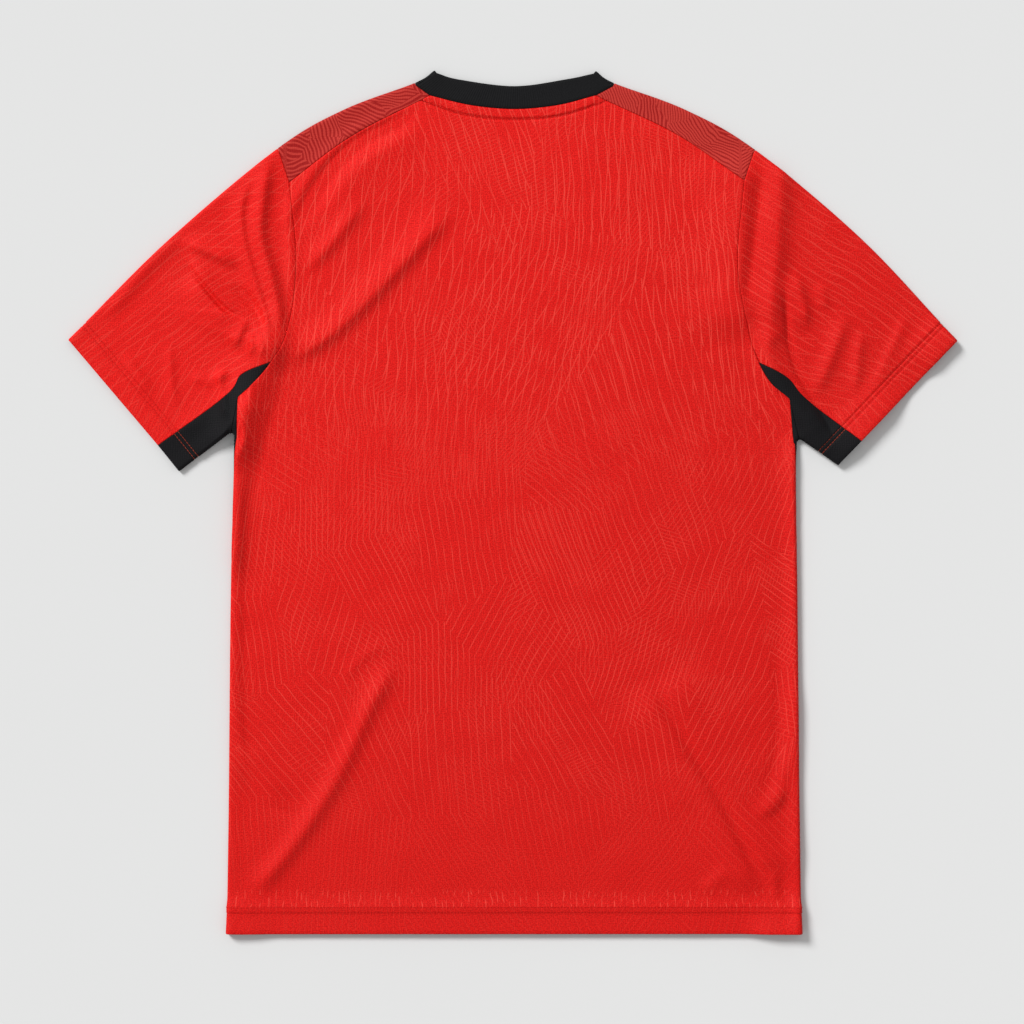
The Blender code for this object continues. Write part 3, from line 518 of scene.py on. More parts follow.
class Lie:
    """The heights of the upper and lower layers' middle surfaces, over a fine grid."""

    def __init__(self, halves):
        self.x = np.arange(-GRID_HALF[0], GRID_HALF[0] + 1.0)
        self.y = np.arange(-GRID_HALF[1], GRID_HALF[1] + 1.0)
        self.grid = np.stack(np.meshgrid(self.x, self.y), axis=-1)
        rim = self.distance([line for half in halves for line in (half.upper, half.lower)],
                            RIM_WIDTH)
        edge_share = 0.5 + 0.5 * np.cos(math.pi * rim / RIM_WIDTH)
        x, y = self.grid[..., 0], self.grid[..., 1]
        height = BASE + RIM * edge_share
        self.add_folds(height, FOLDS)
        height += self.unevenness(x, y)
        height += ramp(HEM_RAMP, y - SHAPE["hem"][0][1])
        for half in halves:
            cuff, low = half.at["cuff_top"], half.at["cuff_low"]
            gap, way = self.grid - cuff, unit(low - cuff)
            distance = half.sign * (gap[..., 0] * way[1] - gap[..., 1] * way[0])
            past = gap @ way - np.linalg.norm(low - cuff)
            here = soft_step((CUFF_FADE[0] - past) / CUFF_FADE[1])
            height += here * ramp(CUFF_RAMP, distance)
        (cx, cy), wide, deep, drop = NECK_SAG
        sag = drop * np.exp(-((x - cx) / wide) ** 2 - ((y - cy) / deep) ** 2)
        height = np.minimum(height, EDGE_HIGH + EDGE_SLOPE * rim)
        self.upper = np.maximum(height, LAYER_LOW) - sag
        lift = np.zeros_like(height)
        self.add_folds(lift, UNDER_FOLDS)
        lift *= 1.0 - edge_share
        self.lower = np.clip(lift, 0.0, np.maximum(self.upper - CLEARANCE, 0.0))

    def unevenness(self, x, y):
        """The slight waves of cloth that was smoothed out by hand."""
        rng = np.random.default_rng(WAVE_SEED)
        waves = np.zeros_like(x)
        for size, count, tall in WAVES:
            for angle, phase, stretch in rng.uniform(0.0, 1.0, (count, 3)):
                turn = 2 * math.pi * angle
                length = size * (0.7 + 0.6 * stretch)
                waves += tall * np.sin((x * math.cos(turn) + y * math.sin(turn))
                                       * 2 * math.pi / length + 2 * math.pi * phase)
        return waves

    def near(self, line, reach):
        """The part of the grid within reach of the line, and how its points lie to it."""
        low, high = line.min(axis=0) - reach, line.max(axis=0) + reach
        j = slice(*np.searchsorted(self.x, (low[0], high[0])))
        i = slice(*np.searchsorted(self.y, (low[1], high[1])))
        block = self.grid[i, j]
        found = near_line(block.reshape(-1, 2), line)
        return (i, j), [each.reshape(block.shape[:2]) for each in found]

    def distance(self, lines, reach):
        """The distance from the nearest of the lines, out to the reach."""
        least = np.full(self.grid.shape[:2], reach)
        for line in lines:
            for k in range(0, len(line) - 1, PART_RUNS):
                where, (distance, _, _) = self.near(line[k:k + PART_RUNS + 1], reach)
                least[where] = np.minimum(least[where], distance)
        return least

    def add_folds(self, height, folds):
        """Adds the folds to the heights in place."""
        for rise, left, right, *points in folds:
            line = spline(points, FOLD_STEPS)
            where, (distance, side, along) = self.near(line, FOLD_REACH * max(left, right))
            width = np.where(side > 0.0, left, right)
            end = min(FOLD_END[0] / extent(line), FOLD_END[1])
            fade = soft_step(along / end) * soft_step((1.0 - along) / end)
            height[where] += rise * fade * np.exp(-(distance / width) ** FOLD_POWER)

    def sample(self, field, plan):
        """The field's values at places between the grid's points."""
        fx = np.clip(plan[:, 0] - self.x[0], 0.0, len(self.x) - 1.001)
        fy = np.clip(plan[:, 1] - self.y[0], 0.0, len(self.y) - 1.001)
        j, i = fx.astype(int), fy.astype(int)
        u, v = fx - j, fy - i
        return between(between(field[i, j], field[i, j + 1], u),
                       between(field[i + 1, j], field[i + 1, j + 1], u), v)


# ---------------------------------------------------------------- sheets and shells

class Sheet:
    """The middle surface of a piece: points, the way out at each, and faces."""

    def __init__(self, lie, wall=CLOTH):
        self.lie = lie
        self.wall = wall
        self.points = np.zeros((0, 3))
        self.out = np.zeros((0, 3))
        self.raised = np.zeros(0)
        self.faces = []

    def add(self, points, out, raised):
        """Takes the points in and returns their numbers."""
        first = len(self.points)
        self.points = np.vstack([self.points, points])
        self.out = np.vstack([self.out, np.broadcast_to(out, points.shape)])
        self.raised = np.concatenate([self.raised, raised])
        return np.arange(first, len(self.points))

    def over(self, plan, field, base, out, raised):
        """Points over these places, in the same arrangement."""
        flat = plan.reshape(-1, 2)
        height = base + self.lie.sample(field, flat)
        raised = np.broadcast_to(raised, plan.shape[:-1]).reshape(-1)
        return self.add(np.column_stack([flat, height]), out, raised).reshape(plan.shape[:-1])

    def top(self, plan, raised=0.0):
        """Points of the upper layer."""
        return self.over(plan, self.lie.upper, (self.wall - CLOTH) / 2, UP, raised)

    def under(self, plan):
        """Points of the layer that rests on the surface."""
        return self.over(plan, self.lie.lower, self.wall / 2, -UP, 0.0)

    def round_fold(self, fold, turned, raised=0.0):
        """A row of points on the loop of a folded edge, from 0 on top to 1 underneath."""
        way = fold[:, 2:]
        centre = fold_centres(fold, self.wall)
        level = self.lie.sample(self.lie.upper, centre) + (self.wall - CLOTH) / 2
        half = (np.clip(level, EDGE_LOW, EDGE_HIGH) - self.wall / 2) / 2
        angle = math.pi * np.broadcast_to(turned, len(fold))
        plan = centre + way * (TURN * np.sin(angle))[:, None]
        height = self.wall / 2 + half * (1.0 + np.cos(angle))
        out = np.column_stack([way * (half * np.sin(angle))[:, None], TURN * np.cos(angle)])
        return self.add(np.column_stack([plan, height]), unit(out), raised * np.cos(angle / 2))

    def wrapped(self, fold, depth, raised=0.0):
        """A row of points at depths along the cloth past the start of a fold's loop."""
        row = self.round_fold(fold, np.clip(depth / LOOP, 0.0, 1.0), raised)
        off_loop = np.minimum(depth, 0.0) - np.maximum(depth - LOOP, 0.0)
        plan = fold_centres(fold, self.wall) + fold[:, 2:] * off_loop[:, None]
        upper = self.lie.sample(self.lie.upper, plan)
        lower = self.wall / 2 + self.lie.sample(self.lie.lower, plan)
        flat = (depth <= 0.0) | (depth >= LOOP)
        height = np.where(depth <= 0.0, upper, lower)
        self.points[row[flat]] = np.column_stack([plan, height])[flat]
        return row

    def skin(self, rows):
        """Four-sided faces between rows of points."""
        rows = np.array(rows)
        quads = np.stack([rows[:-1, :-1], rows[:-1, 1:], rows[1:, 1:], rows[1:, :-1]], axis=-1)
        self.faces.append(quads.reshape(-1, 4))
        return rows

    def turn(self, start, fold, raised=0.0):
        """The loop of a folded edge, from a row of points; returns all its rows."""
        turns = even(TURN_CELLS)[1:]
        return self.skin([start] + [self.round_fold(fold, turned, raised) for turned in turns])

    def path(self, row):
        """A line on the outer face, as points and the way out at each."""
        out = self.out[row]
        return self.points[row] + out * (self.wall / 2 + self.raised[row])[:, None], out

    def oriented(self):
        """All faces, turned so that they look out."""
        faces = np.vstack(self.faces)
        a, b, c, d = (self.points[faces[:, k]] for k in range(4))
        normal = np.cross(c - a, d - b)
        inside = np.einsum("ij,ij->i", normal, self.out[faces].sum(axis=1)) < 0.0
        faces[inside] = faces[inside, ::-1]
        return faces

    def border(self, faces):
        """The edges that have a face on one side only, as directed pairs."""
        pairs = np.vstack([faces[:, [k, (k + 1) % 4]] for k in range(4)])
        pairs = pairs[pairs[:, 0] != pairs[:, 1]]
        count = len(self.points)
        keys = pairs[:, 0] * count + pairs[:, 1]
        back = pairs[:, 1] * count + pairs[:, 0]
        return pairs[~np.isin(keys, back)]

    def build(self, name, colour):
        """The closed shell: an outer face, an inner face, and a rim along every open edge."""
        faces = self.oriented()
        edge = self.border(faces)
        a, b = edge.T
        way = np.cross(self.out[a] + self.out[b], self.points[b] - self.points[a])
        way /= np.linalg.norm(way, axis=1)[:, None] + 1e-9
        inward = np.zeros_like(self.points)
        np.add.at(inward, a, way)
        np.add.at(inward, b, way)
        size = np.linalg.norm(inward, axis=1)[:, None]
        inward = np.where(size > 0.5, inward / np.maximum(size, 0.5), 0.0)
        middle = self.points + inward * SEAM_GAP / 2
        wall = np.full(len(middle), self.wall / 2)
        wall[edge.reshape(-1)] *= THIN
        outer = middle + self.out * (wall + self.raised)[:, None]
        inner = middle - self.out * wall[:, None]
        count = len(middle)
        rim = np.stack([b, a, a + count, b + count], axis=1)
        return mesh_piece(name + "_cloth", np.vstack([outer, inner]),
                          np.vstack([faces, faces[:, ::-1] + count, rim]), colour)


def stand(name, data):
    """A new object in the scene."""
    thing = bpy.data.objects.new(name, data)
    bpy.context.scene.collection.objects.link(thing)
    return thing


def mesh_piece(name, points, faces, colour):
    """A smooth mesh from points in millimetres, riding on the frame's one body."""
    mesh = bpy.data.meshes.new(name)
    loops = [list(dict.fromkeys(face)) for face in np.asarray(faces).tolist()]
    mesh.from_pydata((points * MM).tolist(), [], [face for face in loops if len(face) > 2])
    mesh.validate()
    mesh.shade_smooth()
    mesh.materials.append(colour)
    piece = stand(name, mesh)
    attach(piece, "root")
    return piece


# ---------------------------------------------------------------- the cut pieces

# Where the back's side seam lies: height up the body, and how far past the start of the
# side fold's loop, measured along the cloth
SIDE_SEAM = [(-400.0, LOOP + BACK_WRAP), (-90.0, LOOP + BACK_WRAP), (-50.0, 7.3), (20.0, 3.6),
             (45.0, 1.8), (59.0, 0.0)]
NOTCH = slice(NOTCH_CELLS + 1)              # the side fold's points on the notch's arc
BODY = slice(NOTCH_CELLS + 1, None)         # and those below it


def side_seam_shares(half):
    """How far down the straight top of the side seam each row from the notch meets it."""
    start = half.at["underarm"]
    offset = fold_centres(half.side_fold)[NOTCH] - start
    run, way = offset[-1], half.side_fold[NOTCH, 2:]
    cross = run[0] * way[:, 1] - run[1] * way[:, 0]
    return ((offset[:, 0] * way[:, 1] - offset[:, 1] * way[:, 0]) / cross)[:, None]


def side_seam_plan(half):
    """The back's side seam where it is still on top, from the underarm down."""
    last = fold_centres(half.side_fold)[NOTCH_CELLS]
    return between(half.at["underarm"], last, side_seam_shares(half))


def body_edge(half):
    """The line that parts the back's middle from its wrapped sides, underarm to hem."""
    edge = fold_centres(half.side_fold) - half.side_fold[:, 2:] * EDGE_INSET
    first = half.underarm_seam[-1 - EDGE_CELLS]
    edge[NOTCH] = between(first, edge[NOTCH_CELLS], side_seam_shares(half))
    return edge


def tape_lift(plan):
    """The doubled neck tape stands out above its row of stitches."""
    distance, side, along = near_line(plan, spline(TAPE_LINE))
    signed = np.where(side > 0.0, distance, -distance)
    lift = TAPE_LIFT * soft_step((signed + TAPE_START) / TAPE_RISE)
    lift -= STITCH_DIP * np.exp(-(distance / STITCH_BED) ** 2)
    return lift * (along > 0.0) * (along < 1.0)


def make_back(lie, halves):
    """The back, from the saddle seams to the hem, with its sides wrapped round the folds."""
    left, right = halves
    sheet = Sheet(lie)
    edges = [np.vstack([body_edge(half)[::-1], half.underarm_seam[-2 - EDGE_CELLS::-1],
                        half.armhole[-2::-1]]) for half in halves]
    neck = back_neck(halves)
    top = np.vstack([left.saddle_line[::-1], neck[1:-1], right.saddle_line])
    corners = np.cumsum([extent(line) for line in (left.saddle_line, neck, right.saddle_line)])
    columns = in_parts(corners[:2] / corners[2], (SADDLE_CELLS, NECK_CELLS, SADDLE_CELLS))
    grid = span(*edges, top, split_ends(columns, BACK_EDGE))
    raised = np.zeros(grid.shape[:2])
    raised[:SIDE_ROWS + 1] = left.hem_lift[::-1][:, None]
    near_neck = grid[..., 1] > TAPE_LOW
    raised[near_neck] += tape_lift(grid[near_neck])
    rows = sheet.skin(sheet.top(grid, raised))
    loop_end = EDGE_INSET + LOOP
    total = loop_end + BACK_WRAP
    shares = np.concatenate([[EDGE_INSET / 3, EDGE_INSET * 2 / 3],
                             np.linspace(EDGE_INSET, loop_end, TURN_CELLS + 1),
                             [loop_end + BACK_WRAP / 3, loop_end + BACK_WRAP * 2 / 3,
                              total - CLOSE, total]]) / total
    sides = []
    for half, column in zip(halves, (0, -1)):
        lines = [rows[:SIDE_ROWS + 1, column][::-1]]
        seam, edge = side_seam_plan(half), body_edge(half)[NOTCH]
        fold, lift = half.side_fold[BODY], half.hem_lift[BODY]
        depth = profile(SIDE_SEAM, fold[:, 1])
        for part in shares:
            notch = sheet.top(between(edge, seam, part))
            body = sheet.wrapped(fold, between(-EDGE_INSET, depth, part), lift)
            lines.append(np.concatenate([notch, body]))
        sides.append(sheet.skin(lines)[:, ::-1])
    paths = [sheet.path(np.concatenate([sides[0][:0:-1, k], rows[k], sides[1][1:, k]]))
             for k in HEM_ROWS]
    return sheet.build("back", RED), paths


def make_side(lie, half):
    """A side panel: under the front's edge, and round the fold below the underarm."""
    sheet = Sheet(lie)
    fold = half.side_fold
    seam, centres = side_seam_plan(half), fold_centres(fold)
    depth = profile(SIDE_SEAM, fold[:, 1])
    depth[NOTCH] = -np.linalg.norm(seam - centres[NOTCH], axis=1)
    run = lengths(fold[:, :2])
    front = share(half.front_seam, run / run[-1])
    past = np.maximum(depth, LOOP)
    inner_end = centres - fold[:, 2:] * (past - LOOP)[:, None]
    rows = [sheet.wrapped(fold, between(depth, past, part))
            for part in (0.0, 0.1, *np.linspace(0.2, 1.0, TURN_CELLS))]
    sheet.points[rows[0][NOTCH], :2] = seam
    for part in split(PANEL_CELLS, SIDE_EDGE)[1:]:
        rows.append(sheet.under(between(inner_end, front, part)))
    rows = sheet.skin(rows)
    paths = [sheet.path(rows[TURN_CELLS:, SIDE_ROWS - k]) for k in HEM_ROWS]
    return sheet.build("side_" + half.name, BLACK), paths


def make_shoulder(lie, half, neck):
    """A saddle panel, over the shoulder's fold; neck is its seam under the fold."""
    sheet = Sheet(lie)
    shares = split(SADDLE_WIDTH_CELLS, SADDLE_EDGE)
    centres = fold_centres(half.shoulder_fold)
    rows = [between(half.saddle_seam, centres, part) for part in (*shares[:-2], 1.0)]
    top = sheet.skin(sheet.top(np.array(rows)))
    seam = between(neck[-1], half.saddle_seam[-1], half.shoulder_shares[:, None])
    bulge = share(neck, shares) - between(neck[0], neck[-1], shares[:, None])
    fade = (1.0 - half.shoulder_shares)[:, None] ** 3
    under = [sheet.turn(top[-1], half.shoulder_fold)[-1]]
    for part, offset in zip(shares[1:], bulge[1:]):
        under.append(sheet.under(between(centres, seam, part) + offset * fade))
    sheet.skin(under)
    return sheet.build("shoulder_" + half.name, SADDLE)


def straight_seam(cuff, end):
    """A seam of the lower layer, from the cuff's edge."""
    return between(cuff, end, cuff_shares(np.linalg.norm(end - cuff))[:, None])


def make_sleeve(lie, half):
    """A sleeve, over its upper fold and back under it as far as the insert."""
    sheet = Sheet(lie)
    centres, lift = fold_centres(half.sleeve_fold), half.cuff_lift
    head = np.vstack([centres[-1:], half.saddle_seam[-1:], half.armhole[1:]])
    columns = in_parts([extent(head[:2]) / extent(head)], (SADDLE_WIDTH_CELLS, ARMHOLE_CELLS))
    columns = split_ends(columns, SLEEVE_EDGE)
    grid = span(centres, half.insert_seam, head, columns)
    top = sheet.skin(sheet.top(grid, lift[:, None]))
    turned = sheet.turn(top[:, 0], half.sleeve_fold, lift)
    seam = straight_seam(half.insert_seam[0], half.armhole[-1])
    grid = span(centres, seam, head, columns[::2])
    under = sheet.skin(np.column_stack([turned[-1], sheet.under(grid[:, 1:])]))
    paths = [sheet.path(np.concatenate([top[k, ::-1], turned[1:, k], under[k, 1:]]))
             for k in CUFF_ROWS]
    return sheet.build("sleeve_" + half.name, RED), paths


def make_underarm(lie, half):
    """The insert under the arm, between the sleeve's two seams."""
    sheet = Sheet(lie)
    centres, lift = fold_centres(half.underarm_fold), half.cuff_lift
    end = np.vstack([half.underarm_seam, centres[-1:]])
    grid = span(half.insert_seam, centres, end, split(INSERT_CELLS, INSERT_EDGE), INSERT_REACH)
    top = sheet.skin(sheet.top(grid, lift[:, None]))
    turned = sheet.turn(top[:, -1], half.underarm_fold, lift)
    seam = straight_seam(half.insert_seam[0], half.at["insert_top"])
    rows = [turned[-1]]
    for part in split(UNDERARM_CELLS, INSERT_EDGE)[1:]:
        rows.append(sheet.under(between(centres, seam, part)))
    under = sheet.skin(rows)
    paths = [sheet.path(np.concatenate([top[k], turned[1:, k], under[1:, k]]))
             for k in CUFF_ROWS]
    return sheet.build("underarm_" + half.name, BLACK), paths


def make_front(lie, halves, neck, cut):
    """The front panel, all of it in the lower layer."""
    sheet = Sheet(lie)
    ends = []
    for half in halves:
        shares = graded(extent(half.front_seam), HEM_MARKS, SIDE_CELLS // 2)
        armhole = share(half.armhole, even(ARMHOLE_CELLS // 2))
        ends.append(np.vstack([share(half.front_seam[::-1], shares), armhole[-2:0:-1],
                               share(half.armhole, [FRONT_CORNER, 0.0])]))
    scoop = share(neck, between(cut, 1.0 - cut, even(FRONT_NECK_CELLS)))
    top = np.vstack([ends[0][-1:], scoop, ends[1][-1:]])
    run = lengths(top)
    columns = in_parts(run[[1, -2]] / run[-1], (FRONT_TOP_CELLS, FRONT_NECK_CELLS, FRONT_TOP_CELLS))
    grid = span(*ends, top, split_ends(columns, FRONT_EDGE), FRONT_REACH)
    rows = sheet.skin(sheet.under(grid))
    return sheet.build("front", RED), [sheet.path(rows[k]) for k in HEM_ROWS]


def make_collar(lie, halves, neck):
    """The rib ring: its back arc on top, its front arc on the surface."""
    left, right = halves
    sheet = Sheet(lie, RIB)
    across = split(RIB_CELLS, COLLAR_EDGE)[:, None]
    first, last = (fold_centres(half.collar_fold, RIB) for half in halves)
    seam = np.vstack([first[:1], back_neck(halves), last[:1]])
    edge = spline([first[-1], NECK_TOP_MID[0], NECK_TOP_CENTRE, NECK_TOP_MID[1], last[-1]])
    ribs = even(RIBS_BACK * RIB_STEPS)
    turns = even(RIBS_TURN * RIB_STEPS)[1:]
    relief = RIB_RELIEF * np.cos(2 * math.pi * np.arange(RIB_STEPS) / RIB_STEPS)
    rows = []
    for low, high in zip(share(seam, ribs), share(edge, ribs)):
        rows.append(sheet.top(between(low, high, across), relief[len(rows) % RIB_STEPS]))
    for turned in turns:
        rows.append(sheet.round_fold(right.collar_fold, turned, relief[len(rows) % RIB_STEPS]))
    seam = share(neck, even(RIBS_FRONT * RIB_STEPS))[::-1]
    for low, way in zip(seam[1:-1], outward(seam, -1.0)[1:-1]):
        rows.append(sheet.under(low + way * COLLAR_WIDTH * across))
        sheet.raised[rows[-1]] = min(0.0, relief[len(rows) % RIB_STEPS])
    for turned in turns[::-1]:
        rows.append(sheet.round_fold(left.collar_fold, turned, relief[len(rows) % RIB_STEPS]))
    sheet.skin(rows + rows[:1])
    return sheet.build("collar", RIBBED)


# ---------------------------------------------------------------- stitches

STITCH_PITCH = 3.0
STITCH_LENGTH = 2.5
STITCH_RADIUS = 0.26
STITCH_RISE = 0.08      # how high its middle lies over the cloth
STITCH_SINK = 0.1       # how much lower its ends are
STITCH_RINGS = [(-0.5, 0.4), (-0.36, 1.0), (0.36, 1.0), (0.5, 0.4)]     # place, share of radius
STITCH_SIDES = 6
STITCH_LOW = 0.02       # no thread comes lower than this
# Faces that close the first end and the last
STITCH_CAPS = [(0, 5, 4, 3), (0, 3, 2, 1)], [(0, 1, 2, 3), (0, 3, 4, 5)]


def stitches(name, paths, colour):
    """Rows of short thread stitches along lines on the cloth."""
    turn = np.linspace(0.0, 2 * math.pi, STITCH_SIDES, endpoint=False)
    points, faces = [], []
    for line, out in paths:
        run = lengths(line)
        for middle in np.arange(STITCH_PITCH / 2, run[-1], STITCH_PITCH):
            ends = (middle - STITCH_LENGTH / 2, middle, middle + STITCH_LENGTH / 2)
            start, at, end = values_at(ends, run, line)
            along = unit(end - start)
            across = np.cross(values_at(middle, run, out), along)
            up = np.cross(along, across)
            first = len(points)
            for place, wide in STITCH_RINGS:
                lift = STITCH_RISE - (STITCH_SINK if wide < 1.0 else 0.0)
                radius = wide * STITCH_RADIUS
                for angle in turn:
                    points.append(at + along * place * STITCH_LENGTH
                                  + across * radius * math.cos(angle)
                                  + up * (radius * math.sin(angle) + lift))
            last = len(points) - STITCH_SIDES
            for ring in range(first, last, STITCH_SIDES):
                for k in range(STITCH_SIDES):
                    a, b = ring + k, ring + (k + 1) % STITCH_SIDES
                    faces.append([a, b, b + STITCH_SIDES, a + STITCH_SIDES])
            for base, quads in zip((first, last), STITCH_CAPS):
                faces += [[base + k for k in quad] for quad in quads]
    points = np.array(points)
    points[:, 2] = np.maximum(points[:, 2], STITCH_LOW)
    return mesh_piece(name, points, faces, colour)


# ---------------------------------------------------------------- materials

# Colours as linear red, green and blue, the deeper one first
RED_CLOTH = (0.50, 0.0042, 0.0032), (0.71, 0.0092, 0.0064)
RED_LOOPS = (0.42, 0.0036, 0.0028)
RED_LINES = (0.75, 0.072, 0.050)
DARK_RED_CLOTH = (0.215, 0.0038, 0.0038), (0.352, 0.0105, 0.0090)
DARK_RED_LINES = (0.52, 0.044, 0.032)
BLACK_CLOTH = (0.0030, 0.0030, 0.0036), (0.0068, 0.0063, 0.0074)
BLACK_RIB = (0.0040, 0.0040, 0.0046), (0.0082, 0.0082, 0.0088)
FLOOR_TONES = (0.590, 0.592, 0.590), (0.601, 0.603, 0.601)

# Patterns of thin stripes: size of a patch, pitch, width, wobble and its size, lean, spread, seed
UPPER_FANS = (150.0, 9.0, 0.5, 11.0, 60.0, 0.05, 0.6, 3.0)
LOWER_FANS = (90.0, 6.5, 0.4, 9.0, 70.0, 0.2, 1.7, 8.0)
CROSSING_FANS = (130.0, 12.0, 0.5, 12.0, 60.0, -0.1, 1.2, 21.0)
HATCHING = (55.0, 3.6, 0.4, 6.0, 40.0, 0.1, 2.6, 33.0)
TICKS = (60.0, 6.0, 0.35, 4.0, 14.0, 0.0, 0.25, 41.0)
SADDLE_STRIPES = (30.0, 3.1, 1.3, 7.0, 17.0, 0.9, 2.4, 14.0)
STRIPE_WIGGLE = (14.0, 1.6)         # size and amount
STRIPE_SOFT = (0.45, -0.15)         # where a stripe ends and where it is full, past its edge
SLEEVE_BORDERS = (203.0, 206.0), (292.0, 298.0)     # out from the middle, and slanted
SLEEVE_TURN = 0.92                  # by which the cloth of the sleeves is turned
HIGH_ON_BACK = (-40.0, 140.0)       # where the upper fans take over from the lower ones
FAINTER = 0.8                       # the lower and the crossing fans, against the upper ones
# Ramps: from, to, and the strengths there where these are not 0 and 1
WORN_LINES = (0.28, 0.6, 0.25, 1.0)
HATCHED_PATCHES = (0.42, 0.6, 0.05, 0.4)
SHARP_PATCHES = (0.4, 0.6)
FAINTER_ON_SLEEVES = (0.0, 1.0, 1.0, 0.6)
FAINTER_BELOW = (-350.0, -180.0, 0.25, 1.0)
HEM_TICKS = (-366.0, -362.0), (-346.0, -352.0)      # short upright marks above the hem
FALLOFF_SHADE = (-440.0, 560.0, 0.185, 0.0)   # painted shade of the light's fall-off: a share of black, from the hem's right corner to the left arm

KNIT_DRIFT = (8.0, 14.0, 11.0)      # its size, and how far it shifts the courses and columns
KNIT_GRAIN = (1.45, 3.0, 2.5)       # its size and detail, and how much it counts
KNIT_STRENGTH = 0.8


class Shader:
    """A material's node tree, with short calls for its maths."""

    def __init__(self, name, roughness, sheen=0.0):
        self.material = bpy.data.materials.new(name)
        self.material.use_nodes = True
        self.tree = self.material.node_tree
        self.main = self.tree.nodes["Principled BSDF"]
        self.feed(self.main, {"Roughness": roughness, "Specular IOR Level": 0.1,
                              "Sheen Weight": sheen, "Sheen Roughness": 0.4})
        place = self.node("ShaderNodeTexCoord").outputs["Object"]
        apart = self.node("ShaderNodeSeparateXYZ", place)
        self.x, self.y, self.z = (self.times(apart.outputs[axis], 1 / MM) for axis in "XYZ")

    def put(self, socket, value):
        """A link from another node, a colour without its alpha, or a number."""
        if isinstance(value, bpy.types.NodeSocket):
            self.tree.links.new(value, socket)
        else:
            socket.default_value = (*value, 1.0) if isinstance(value, tuple) else value

    def feed(self, node, values):
        for name, value in values.items():
            self.put(node.inputs[name], value)

    def node(self, kind, *inputs, **settings):
        made = self.tree.nodes.new(kind)
        for key, value in settings.items():
            setattr(made, key, value)
        for socket, value in zip(made.inputs, inputs):
            self.put(socket, value)
        return made

    def math(self, operation, *values):
        return self.node("ShaderNodeMath", *values, operation=operation).outputs[0]

    def times(self, first, second):
        return self.math("MULTIPLY", first, second)

    def times_add(self, first, second, more):
        return self.math("MULTIPLY_ADD", first, second, more)

    def vector(self, x, y, z=0.0):
        return self.node("ShaderNodeCombineXYZ", x, y, z).outputs[0]

    def noise(self, depth, size, detail=2.0, output="Fac"):
        """Noise over the plan, at a depth that is a number or a height of the cloth."""
        made = self.node("ShaderNodeTexNoise")
        self.feed(made, {"Vector": self.vector(self.x, self.y, depth), "Scale": 1.0 / size,
                         "Detail": detail})
        return made.outputs[output]

    def ramp(self, value, low, high, start=0.0, end=1.0):
        return self.node("ShaderNodeMapRange", value, low, high, start, end,
                         interpolation_type="SMOOTHSTEP").outputs[0]

    def mix(self, share_of_second, first, second):
        made = self.node("ShaderNodeMix", data_type="RGBA")
        sockets = {socket.name: socket for socket in made.inputs if socket.type == "RGBA"}
        self.put(made.inputs["Factor"], share_of_second)
        self.put(sockets["A"], first)
        self.put(sockets["B"], second)
        return next(socket for socket in made.outputs if socket.type == "RGBA")

    def stripes(self, cell, pitch, width, wobble, wobble_size, lean, spread, seed):
        """Thin stripes in patches that each lie their own way; 1 on a stripe."""
        warp = self.node("ShaderNodeSeparateColor", self.noise(seed, wobble_size, 1.0, "Color"))
        size, amount = STRIPE_WIGGLE
        wiggle = self.times_add(self.noise(seed, size, 1.0), amount, self.x)
        bend_x = self.times_add(warp.outputs[0], wobble, wiggle)
        bend_y = self.times_add(warp.outputs[1], wobble, self.y)
        patch = self.node("ShaderNodeTexVoronoi", voronoi_dimensions="2D")
        self.feed(patch, {"Vector": self.vector(bend_x, bend_y), "Scale": 1.0 / cell})
        random = self.node("ShaderNodeSeparateColor", patch.outputs["Color"])
        angle = self.times_add(random.outputs[0], spread, lean - spread / 2)
        angle = self.math("ADD", angle, self.sleeve_turn())
        across = self.math("ADD", self.times(bend_x, self.math("COSINE", angle)),
                           self.times(bend_y, self.math("SINE", angle)))
        step = self.times_add(random.outputs[1], pitch * 0.5, pitch * 0.75)
        swing = self.math("PINGPONG", self.math("DIVIDE", across, step), 0.5)
        none, full = STRIPE_SOFT
        return self.ramp(self.times(swing, step), width * 0.5 + none, width * 0.5 + full)

    def sleeve_turn(self):
        """The angle by which the cloth of the sleeves is turned against the body's."""
        return self.times(self.times(self.math("SIGN", self.x), SLEEVE_TURN), self.sleeve())

    def sleeve(self):
        """1 on the sleeves and 0 on the body."""
        out = self.math("ABSOLUTE", self.x)
        upright, slanted = SLEEVE_BORDERS
        return self.times(self.ramp(out, *upright),
                          self.ramp(self.times_add(self.y, 0.5, out), *slanted))

    def with_falloff_shade(self, colour):
        """The colour with painted shade: a share of black that grows towards the hem's right
        corner, standing in for the light's fall-off.
        """
        return self.mix(self.ramp(self.math("SUBTRACT", self.y, self.x), *FALLOFF_SHADE), colour, (0.0,) * 3)

    def knit(self, column, course, depth):
        """Small loops in columns that drift a little, and the cloth's grain, as bump."""
        size, shift_row, shift_column = KNIT_DRIFT
        drift = self.noise(9.0, size)
        row = self.math("SINE", self.times_add(drift, shift_row,
                                               self.times(self.y, 2 * math.pi / course)))
        slide = self.times_add(drift, shift_column, self.times(row, 0.5))
        loops = self.math("SINE", self.times_add(self.x, 2 * math.pi / column, slide))
        both = self.times_add(loops, 0.6, self.times(row, 0.4))
        size, detail, amount = KNIT_GRAIN
        height = self.times_add(self.noise(self.z, size, detail), amount, self.times(both, 0.5))
        bump = self.node("ShaderNodeBump")
        self.feed(bump, {"Strength": KNIT_STRENGTH, "Distance": depth * MM, "Height": height})
        self.put(self.main.inputs["Normal"], bump.outputs[0])
        return both

    def colour(self, value):
        self.put(self.main.inputs["Base Color"], value)
        return self.material


